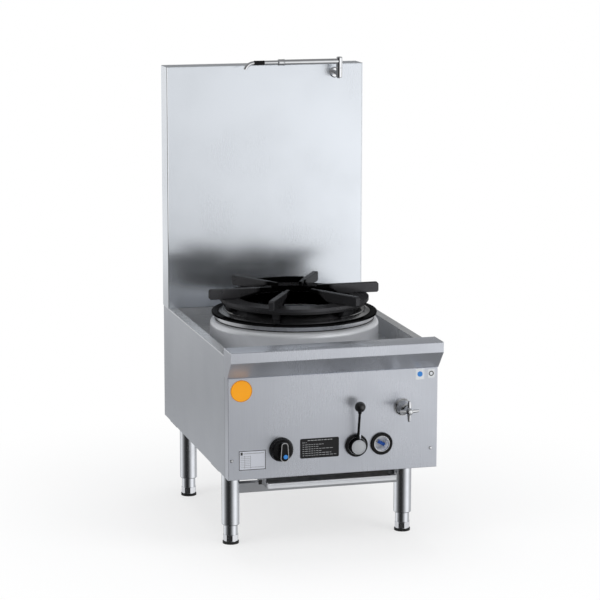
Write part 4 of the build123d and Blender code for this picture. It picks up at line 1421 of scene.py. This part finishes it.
@dataclass
class GasLever(SubAssembly):
    """The main cock's lever: its turned face, the neck and collar on its rod, and what its bezel carries.

    Attributes:
        middle: Its place across and up.
        face_radius: Radius of the turned face.
        lean: How far the rod leans out of the upright, in degrees.
        root: Where the rod's line begins, behind the panel's front and above the middle.
        neck_reach: Distance of the neck up the rod's line.
        collar_reach: Distance of the collar up the rod's line.
    """

    middle: tuple[float, float] = (63.8, 300.0)
    face_radius: float = 20.4
    lean: float = 11.07
    root: tuple[float, float] = (-15.0, 3.0)
    neck_reach: float = 21.5
    collar_reach: float = 98.6

    def build(self) -> None:
        """Make the face, the neck, the collar and the bezel's rim and key."""
        x, z = self.middle
        face = Workpiece.drum("lever_face", at(x, -25.6, z), self.face_radius, 1.6, FORWARD, 64)
        face.front([(0.7, 0.6), (2.4, 0.0), (0.4, -0.3), (0.5, 0.0), (0.4, 0.3), (6.0, 0.1)])
        self.fit(face.settle(), "turned_face", "satin_ring", "power_lever")
        turn = Euler((math.radians(self.lean), 0.0, 0.0))
        neck = Workpiece.drum("lever_neck", self._along(self.neck_reach), 4.6, 9.0, turn, 24)
        neck.front([(0.6, 1.0), (0.9, 0.4)])
        self.fit(neck.settle(), "black_plastic", "black_plastic", "power_lever")
        collar = Workpiece.drum("ball_collar", self._along(self.collar_reach), 5.2, 5.0, turn, 24)
        collar.back([(0.8, 0.8)])
        self.fit(collar.settle(), "black_plastic", "black_plastic", "power_lever")
        rim = Workpiece.ring("bezel_rim", at(x, -8.9, z), 24.2, 1.0, FORWARD)
        self.fit(rim.settle(), "satin_trim", "satin_ring", "range_body")
        key = Workpiece.bar("bezel_key", at(x + 2.2, -9.6, z + 17.0), at(x + 11.2, -0.2, z + 32.4), 0.5)
        self.fit(key.settle(), "panel_steel", "stainless_body", "range_body")

    def _along(self, reach: float) -> Vector:
        """Find a place on the rod's line.

        Args:
            reach: How far up from the root it lies, in millimetres.

        Returns:
            The place in metres.
        """
        x, z = self.middle
        back, up = self.root
        lean = math.radians(self.lean)
        return at(x, back - reach * math.sin(lean), z + up + reach * math.cos(lean))


@dataclass
class SightPort(SubAssembly):
    """The sight port: its bright lip, the pale plate at its end and the sleeve of the igniter.

    Attributes:
        middle: Its place across and up.
        bore: Radius of its tube inside.
        sleeve_slope: Fall of the sleeve to the right, in degrees.
        sleeve_slide: How far the sleeve sits down the slope from the rod's middle.
    """

    middle: tuple[float, float] = (136.4, 300.0)
    bore: float = 20.8
    sleeve_slope: float = 30.0
    sleeve_slide: float = 5.0

    def build(self) -> None:
        """Make the lip, the plate and the sleeve."""
        x, z = self.middle
        lip = Workpiece.band("sight_lip", at(x, -4.2, z), (self.bore - 0.3, self.bore + 1.5), 3.4, FORWARD, 64)
        self.fit(lip.settle(), "chrome", "bright_tube", "range_body")
        plate = Workpiece.drum("sight_plate", at(x, 37.0, z), self.bore - 0.3, 2.0, FORWARD, 48)
        plate.front([(1.5, -0.4), (8.0, -0.3), (3.0, 0.5)])
        self.fit(plate.settle(), "pale_ceramic", "white_sticker", "range_body")
        turn = Euler((0.0, math.radians(90 + self.sleeve_slope), 0.0))
        slope = math.radians(self.sleeve_slope)
        slide = self.sleeve_slide
        centre = at(x + 5.0 + slide * math.cos(slope), 30.0, z - 4.0 - slide * math.sin(slope))
        sleeve = Workpiece.drum("igniter_sleeve", centre, 4.6, 23.0, turn, 24)
        sleeve.front([(0.5, 0.4), (1.2, 0.2), (0.3, -1.0)])
        sleeve.back([(0.5, 0.4), (1.2, 0.2), (0.3, -1.0)])
        self.fit(sleeve.settle(), "blue_sleeve", "blue_sleeve", "range_body")


@dataclass
class PanelPlates(SubAssembly):
    """Generic ruling on the two plates, the rim of the orange disc and the marks on the stickers.

    Attributes:
        rating: Left, right, low and high edge of the silver plate.
        rating_face: How far its face stands in front of the panel.
        rating_rows: Count of lines in its table.
        instruction: Left, right, low and high edge of the black plate.
        instruction_face: How far its face stands in front of the panel.
        title_thickness: Height of the bars in its first line.
        bar_thickness: Height of the bars in its other lines.
        word: Shortest length of a bar, and how much longer it may be.
        word_gap: Distance from one bar to the next.
        badge: Place of the orange disc across and up.
        stickers: Place of each sticker's mark across.
        sticker_height: Height of both marks.
        relief: How far ink stands out of a plate.
        instruction_rows: For each line of the black plate its height, and where it begins and ends, in shares of it.
    """

    rating: tuple[float, float, float, float] = (-269.1, -192.2, 249.0, 305.0)
    rating_face: float = 0.8
    rating_rows: int = 7
    instruction: tuple[float, float, float, float] = (-95.6, 14.4, 272.0, 327.0)
    instruction_face: float = 1.0
    title_thickness: float = 1.5
    bar_thickness: float = 1.0
    word: tuple[float, float] = (4.0, 7.0)
    word_gap: float = 2.2
    badge: tuple[float, float] = (-260.7, 471.0)
    stickers: tuple[float, float] = (246.5, 279.2)
    sticker_height: float = 489.4
    relief: float = 0.12
    instruction_rows: tuple[tuple[float, float, float], ...] = (
        (0.90, 0.19, 0.84),
        (0.80, 0.05, 0.17),
        (0.69, 0.06, 0.60),
        (0.58, 0.06, 0.50),
        (0.47, 0.06, 0.84),
        (0.36, 0.06, 0.58),
        (0.25, 0.06, 0.80),
        (0.14, 0.06, 0.93),
    )

    def build(self) -> None:
        """Rule both plates, rim the disc and mark the stickers."""
        self._rating_plate()
        self._instruction_plate()
        x, z = self.badge
        rim = Workpiece.ring("badge_rim", at(x, -1.0, z), 29.1, 1.6, FORWARD, (96, 8))
        self.fit(rim.settle(), "orange_rim", "orange_badge", "range_body")
        left, right = (at(x, -0.36, self.sticker_height) for x in self.stickers)
        dot = Workpiece.drum("sticker_dot", left, 7.6, 0.2, FORWARD, 40)
        dot.front([(2.6, 0.04), (0.8, -0.04), (1.0, 0.03)])
        self.fit(dot.settle(), "blue_mark", "blue_sleeve", "range_body")
        ring = Workpiece.band("sticker_ring", right, (4.6, 7.2), 0.25, FORWARD, 40)
        self.fit(ring.settle(), "ink_dark", "black_plastic", "range_body")

    def _line(self, face: float, x_limits: tuple[float, float], z_limits: tuple[float, float]) -> bpy.types.Object:
        """One flat raised line of ink on a plate whose face lies that far in front of the panel."""
        low = at(min(x_limits), -face - self.relief, min(z_limits))
        high = at(max(x_limits), -face + 0.05, max(z_limits))
        return Workpiece.bar("ink_line", low, high, 0.04).settle()

    def _rating_plate(self) -> None:
        """A dark border, a plain table and one small square."""
        left, right, low, high = self.rating
        face = self.rating_face
        across = (left + 0.8, right - 0.8)
        upright = (low + 0.8, high - 0.8)
        border = [
            self._line(face, across, (high - 2.8, high - 0.8)),
            self._line(face, across, (low + 0.8, low + 2.8)),
            self._line(face, (left + 0.8, left + 2.8), upright),
            self._line(face, (right - 2.8, right - 0.8), upright),
            self._line(face, (left + 5.5, left + 11.5), (high - 13.0, high - 5.0)),
        ]
        self.fit(joined(border, "rating_border"), "ink_dark", "silver_plate", "range_body")
        table = [self._line(face, (left + 13.5, right - 6.0), (high - 9.6, high - 8.2))]
        for row in range(self.rating_rows):
            z = high - 17.0 - 5.0 * row
            table.append(self._line(face, (left + 5.5, left + 33.0), (z - 0.35, z + 0.35)))
        for x in (left + 17.0, left + 33.5):
            table.append(self._line(face, (x - 0.4, x + 0.4), (low + 5.5, high - 14.5)))
        table.append(self._line(face, (left + 33.5, right - 5.5), (low + 8.0, low + 9.0)))
        self.fit(joined(table, "rating_table"), "ink_grey", "silver_plate", "range_body")

    def _instruction_plate(self) -> None:
        """Lines of plain light bars, of which the first is a thicker title."""
        left, right, low, high = self.instruction
        width = right - left
        shortest, longer = self.word
        bars = []
        thickness = self.title_thickness
        for share, begin, end in self.instruction_rows:
            z = low + share * (high - low)
            start = left + begin * width
            stop = left + end * width
            while start < stop - 2.0:
                word = min(shortest + longer * ((start * 0.37) % 1.0), stop - start)
                z_limits = (z - thickness / 2, z + thickness / 2)
                bars.append(self._line(self.instruction_face, (start, start + word), z_limits))
                start += word + self.word_gap
            thickness = self.bar_thickness
        self.fit(joined(bars, "instruction_bars"), "ink_light", "silver_plate", "range_body")


@dataclass
class WaterTap(SubAssembly):
    """The water tap: the hexagon on its bonnet, the button in its handle and a ring under it.

    Attributes:
        middle: Its place across and up.
    """

    middle: tuple[float, float] = (197.4, 400.0)

    def build(self) -> None:
        """Make the hexagon, the ring and the button."""
        x, z = self.middle
        nut = Workpiece.drum("bonnet_nut", at(x, -26.8, z), 15.4, 5.2, FORWARD, 6)
        nut.front([(1.0, 0.5)])
        nut.back([(1.0, 0.5)])
        self.fit(nut.settle(), "chrome", "chrome", "range_body")
        ring = Workpiece.ring("bonnet_ring", at(x, -4.2, z), 24.0, 1.6, FORWARD)
        self.fit(ring.settle(), "chrome", "chrome", "range_body")
        button = Workpiece.drum("handle_button", at(x, -69.6, z), 5.8, 2.0, FORWARD, 32)
        button.front([(0.5, 0.5), (1.0, 0.1), (0.4, -0.3), (1.2, 0.3)])
        self.fit(button.settle(), "chrome", "chrome", "water_tap")
        ring = Workpiece.ring("handle_ring", at(x, -51.0, z), 10.2, 1.4, FORWARD, (40, 8))
        self.fit(ring.settle(), "chrome", "chrome", "water_tap")


@dataclass
class PotFiller(SubAssembly):
    """The pot filler: the ring and foot of its joint, the cap of its head and the rings on its arm and sleeve.

    Attributes:
        axis: Its upright axis, across and back.
        radius: Radius of its body.
        arm_height: Height of the arm's line.
        arm_rings: Place across and radius of each ring on the arm.
        cuffs: Place across of each cuff on the sleeve.
    """

    axis: tuple[float, float] = (212.0, 681.0)
    radius: float = 9.3
    arm_height: float = 1293.0
    arm_rings: tuple[tuple[float, float], ...] = ((43.2, 9.0), (40.2, 9.4), (26.6, 9.4), (23.4, 7.0))
    cuffs: tuple[float, ...] = (-18.6, -47.8)

    def build(self) -> None:
        """Make the joint's ring and foot, the cap, the arm's rings and the cuffs of its sleeve."""
        x, y = self.axis
        seat = Workpiece.band("filler_seat", at(x, y, 1272.4), (self.radius - 0.5, self.radius + 0.8), 2.4, UPRIGHT)
        self.fit(seat.settle(), "chrome", "chrome", "range_body")
        foot = Workpiece.drum("filler_foot", at(x, y, 1244.6), self.radius - 2.2, 2.0, UPRIGHT, 32)
        foot.back([(1.0, 0.8), (1.0, 0.2)])
        self.fit(foot.settle(), "chrome", "chrome", "range_body")
        cap = Workpiece.drum("filler_cap", at(x, y, 1304.4), self.radius - 1.2, 1.4, UPRIGHT, 40)
        cap.front([(1.0, 0.6), (2.0, 0.5), (2.4, 0.2)])
        self.fit(cap.settle(60.0), "chrome", "chrome", "pot_filler_arm")
        rings = []
        for place, radius in self.arm_rings:
            ring = Workpiece.ring("arm_ring", at(place, y, self.arm_height), radius, 1.2, SIDEWAYS, (40, 8))
            rings.append(ring.settle())
        self.fit(joined(rings, "arm_rings"), "chrome", "chrome", "pot_filler_arm")
        cuffs = []
        for place in self.cuffs:
            cuff = Workpiece.ring("sleeve_cuff", at(place, y, self.arm_height), 6.5, 1.1, SIDEWAYS, (32, 8))
            cuffs.append(cuff.settle())
        self.fit(joined(cuffs, "sleeve_cuffs"), "black_rubber", "black_plastic", "pot_filler_arm")


@dataclass
class LevellingFeet(SubAssembly):
    """What shows on the four feet: the eight-sided grip of each barrel and its black base.

    Attributes:
        across: Distance of the feet from the middle, left and right.
        rows: Distance of each row of feet behind the panel's front, by its name.
        grip_radius: Radius over the corners of the eight-sided grip.
        base_radius: Radius of the black base.
    """

    across: float = 251.8
    rows: tuple[tuple[str, float], ...] = (("front", 162.6), ("rear", 688.8))
    grip_radius: float = 22.1
    base_radius: float = 22.9

    def build(self) -> None:
        """Make the grip and base of one foot and copy them to the others."""
        first = at(-self.across, self.rows[0][1], 0)
        grip = Workpiece.drum("foot_grip", first + Vector((0, 0, 17.5 * MM)), self.grip_radius, 17.0, UPRIGHT, 8)
        grip.front([(1.6, 1.0)])
        grip.back([(1.2, 0.8)])
        base = Workpiece.drum("foot_base", first + Vector((0, 0, 3.2 * MM)), self.base_radius, 6.4, UPRIGHT, 48)
        base.front([(0.8, 0.5), (1.2, 0.2)])
        names = []
        moves = []
        for row, back in self.rows:
            for side, sign in (("left", -1), ("right", 1)):
                names.append(f"{row}_{side}")
                moves.append(Matrix.Translation(at(sign * self.across, back, 0) - first))
        for kind, piece, finish, slot in (
            ("foot_grip", grip.settle(20.0), "foot_steel", "foot_steel"),
            ("foot_base", base.settle(), "black_rubber", "black_plastic"),
        ):
            for name, copy in zip(names, [piece, *repeated(piece, moves[1:])]):
                copy.name = f"{kind}_{name}"
                copy.data.name = copy.name
                self.fit(copy, finish, slot, f"foot_{name}")


@dataclass
class SheetFolds(SubAssembly):
    """Round folds along the sheets' edges, tinted brighter than their sheets as a painted highlight, the seams
    beside the panel and the caps of the tray's runners.

    Attributes:
        half_width: Distance of the body's sides from the middle.
        body_top: Height of the body's top.
        body_back: Distance of the body's back behind the panel's front.
        panel_back: Distance of the panel's rear edge behind its front.
        rail: Half width, front and top of the front rail.
        splash: Half width, front and top of the splashback.
        fold: Radius of a fold.
    """

    half_width: float = 298.0
    body_top: float = 563.0
    body_back: float = 804.0
    panel_back: float = 37.0
    rail: tuple[float, float, float] = (300.0, -43.0, 585.0)
    splash: tuple[float, float, float] = (300.0, 731.0, 1282.0)
    fold: float = 2.4

    def build(self) -> None:
        """Make the folds, the seams and the caps."""
        inset = self.fold - 0.25
        middle = (self.panel_back + self.body_back) / 2
        length = self.body_back - self.panel_back - 2.0
        edge = Workpiece.drum(
            "side_folds", at(inset - self.half_width, middle, self.body_top - inset), self.fold, length, FORWARD, 20
        )
        self._both_sides(edge, "side_folds")
        half, front, top = self.rail
        middle = (front + self.panel_back) / 2
        length = self.panel_back - front - 3.0
        edge = Workpiece.drum("rail_folds", at(inset - half, middle, top - inset), self.fold, length, FORWARD, 20)
        self._both_sides(edge, "rail_folds")
        half, front, top = self.splash
        low = self.body_top + 3.0
        place = at(inset - half, front + inset, (low + top) / 2)
        edge = Workpiece.drum("splash_folds", place, self.fold, top - low - 3.0, UPRIGHT, 20)
        self._both_sides(edge, "splash_folds")
        seam = Workpiece.bar("panel_seams", at(-298.15, 36.5, 226.0), at(-297.6, 37.3, 552.0), 0.1)
        self._both_sides(seam, "panel_seams", "ink_dark", "black_plastic")
        cap = Workpiece.bar("runner_caps", at(-206.4, 25.4, 200.0), at(-196.6, 28.0, 212.5), 0.6)
        self._both_sides(cap, "runner_caps", "black_rubber", "black_plastic")

    def _both_sides(
        self, work: Workpiece, name: str, finish: str = "fold_highlight", slot: str = "stainless_body"
    ) -> None:
        """Finish a piece of the left side, repeat it on the right and fit both as one.

        Args:
            work: The left piece in work.
            name: The pair's name.
            finish: Name of the pair's finish.
            slot: The record's slot.
        """
        left = work.settle()
        low, high = (Vector(corner) for corner in (left.bound_box[0], left.bound_box[6]))
        across = -(low.x + high.x)
        pair = joined([left, *repeated(left, [Matrix.Translation((across, 0, 0))])], name)
        self.fit(pair, finish, slot, "range_body")


@dataclass
class BurnerGapShades(SubAssembly):
    """Near-black rings of painted shade: one under the trivet that fills the gap over the lower ring, and one under
    the lip ring that darkens its groove.

    Attributes:
        gap_shade: Radius, height and thickness of the ring under the trivet.
        groove_shade: Radius, height and thickness of the ring under the lip ring.
    """

    gap_shade: tuple[float, float, float] = (182.0, 629.5, 2.6)
    groove_shade: tuple[float, float, float] = (226.9, 585.2, 5.4)

    def build(self) -> None:
        """Make both rings."""
        # Both rings are near-black painted shade: the gap under the trivet and the groove under the lip ring
        self.fit(self._round("trivet_gap_shade", *self.gap_shade), "burner_iron", "black_iron", "trivet")
        self.fit(self._round("lip_groove_shade", *self.groove_shade), "black_rubber", "black_enamel", "range_body")

    @staticmethod
    def _round(name: str, radius: float, height: float, thickness: float) -> bpy.types.Object:
        """A flat ring round the burner's axis."""
        return Workpiece.ring(name, at(0, BURNER_BACK, height), radius, thickness, UPRIGHT, (96, 8)).settle()


@dataclass
class Fixings(SubAssembly):
    """Rivets of the back sheets, threads of the two supply ends and the bolt of the burner's cap.

    Attributes:
        back: Distance of the back sheets behind the panel's front.
        rivet_radius: Radius of a rivet's head.
        rivet_rows: Places across of some rivets, and the heights at which each of those places has one.
        cap_top: Height of the burner cap's flat top.
    """

    back: float = 806.0
    rivet_radius: float = 4.0
    rivet_rows: tuple[tuple[tuple[float, ...], tuple[float, ...]], ...] = (
        ((-286.0, 286.0), (250.0, 345.0, 440.0, 535.0)),
        ((-143.0, 0.0, 143.0), (535.0,)),
        ((-288.0, 288.0), (590.0, 760.0, 930.0, 1100.0, 1262.0)),
        ((-144.0, 0.0, 144.0), (1262.0, 590.0)),
    )
    cap_top: float = 577.0

    def build(self) -> None:
        """Make the rivets, the threads and the bolt."""
        self._rivets()
        self._thread("gas_thread", (-220.0, 300.0), 16.4, 2.3, 9, "gas_steel", "pipe_steel")
        self._thread("water_thread", (197.4, 270.0), 10.3, 1.9, 11, "copper_tube", "copper")
        head = Workpiece.drum("cap_bolt", at(0, BURNER_BACK, self.cap_top + 4.0), 9.0, 6.0, UPRIGHT, 6)
        head.front([(0.9, 0.6), (0.6, 0.1)])
        washer = Workpiece.band("cap_washer", at(0, BURNER_BACK, self.cap_top + 0.8), (5.0, 13.0), 1.6, UPRIGHT)
        bolt = joined([head.settle(), washer.settle()], "cap_bolt")
        self.fit(bolt, "burner_iron", "burner_iron", "range_body")

    def _rivets(self) -> None:
        """Round rivet heads along the edges of the back panel and the splashback's back."""
        places = [(x, z) for across, heights in self.rivet_rows for x in across for z in heights]
        x, z = places[0]
        rivet = Workpiece.drum("rivet", at(x, self.back + 0.3, z), self.rivet_radius, 0.8, BACKWARD, 20)
        rivet.front([(0.6, 0.7), (1.0, 0.5), (1.2, 0.2)])
        head = rivet.settle(60.0)
        moves = [Matrix.Translation(at(across, 0, up) - at(x, 0, z)) for across, up in places[1:]]
        row = joined([head, *repeated(head, moves)], "back_rivets")
        self.fit(row, "satin_trim", "stainless_body", "range_body")

    def _thread(
        self, name: str, place: tuple[float, float], radius: float, pitch: float, turns: int, slot: str, finish: str
    ) -> None:
        """Ridges of a pipe thread on one supply end.

        Args:
            name: The piece's name.
            place: The pipe's place across and up.
            radius: Radius of the ridges' middle line.
            pitch: Distance from one ridge to the next.
            turns: Count of ridges.
            slot: The record's slot.
            finish: Name of the finish.
        """
        x, z = place
        ridge = Workpiece.ring("ridge", at(x, self.back + 3.5, z), radius, 1.2, BACKWARD, (40, 6)).settle()
        moves = [Matrix.Translation((0, pitch * MM * index, 0)) for index in range(1, turns)]
        self.fit(joined([ridge, *repeated(ridge, moves)], name), finish, slot, "range_body")


SUB_ASSEMBLIES: tuple[type[SubAssembly], ...] = (
    PilotKnob, GasLever, SightPort, PanelPlates, WaterTap, PotFiller, LevellingFeet, SheetFolds, BurnerGapShades, Fixings,
)


def main() -> None:
    """Build the dressed range in order."""
    logging.basicConfig(level=logging.INFO, format="%(name)s: %(message)s")
    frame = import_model()
    Viewpoint().stand()
    Studio().build()
    shelf = FinishShelf(SharedEffects(), FINISHES)
    for finish, nodes in NODE_FINISHES.items():
        for node in nodes:
            shelf.dress(frame["nodes"][node], finish)
            LOG.info("%s dressed in %s", node, finish)
    for kind in SUB_ASSEMBLIES:
        kind(shelf).build()
        LOG.info("%s built", kind.__name__)


if __name__ == "__main__":
    main()
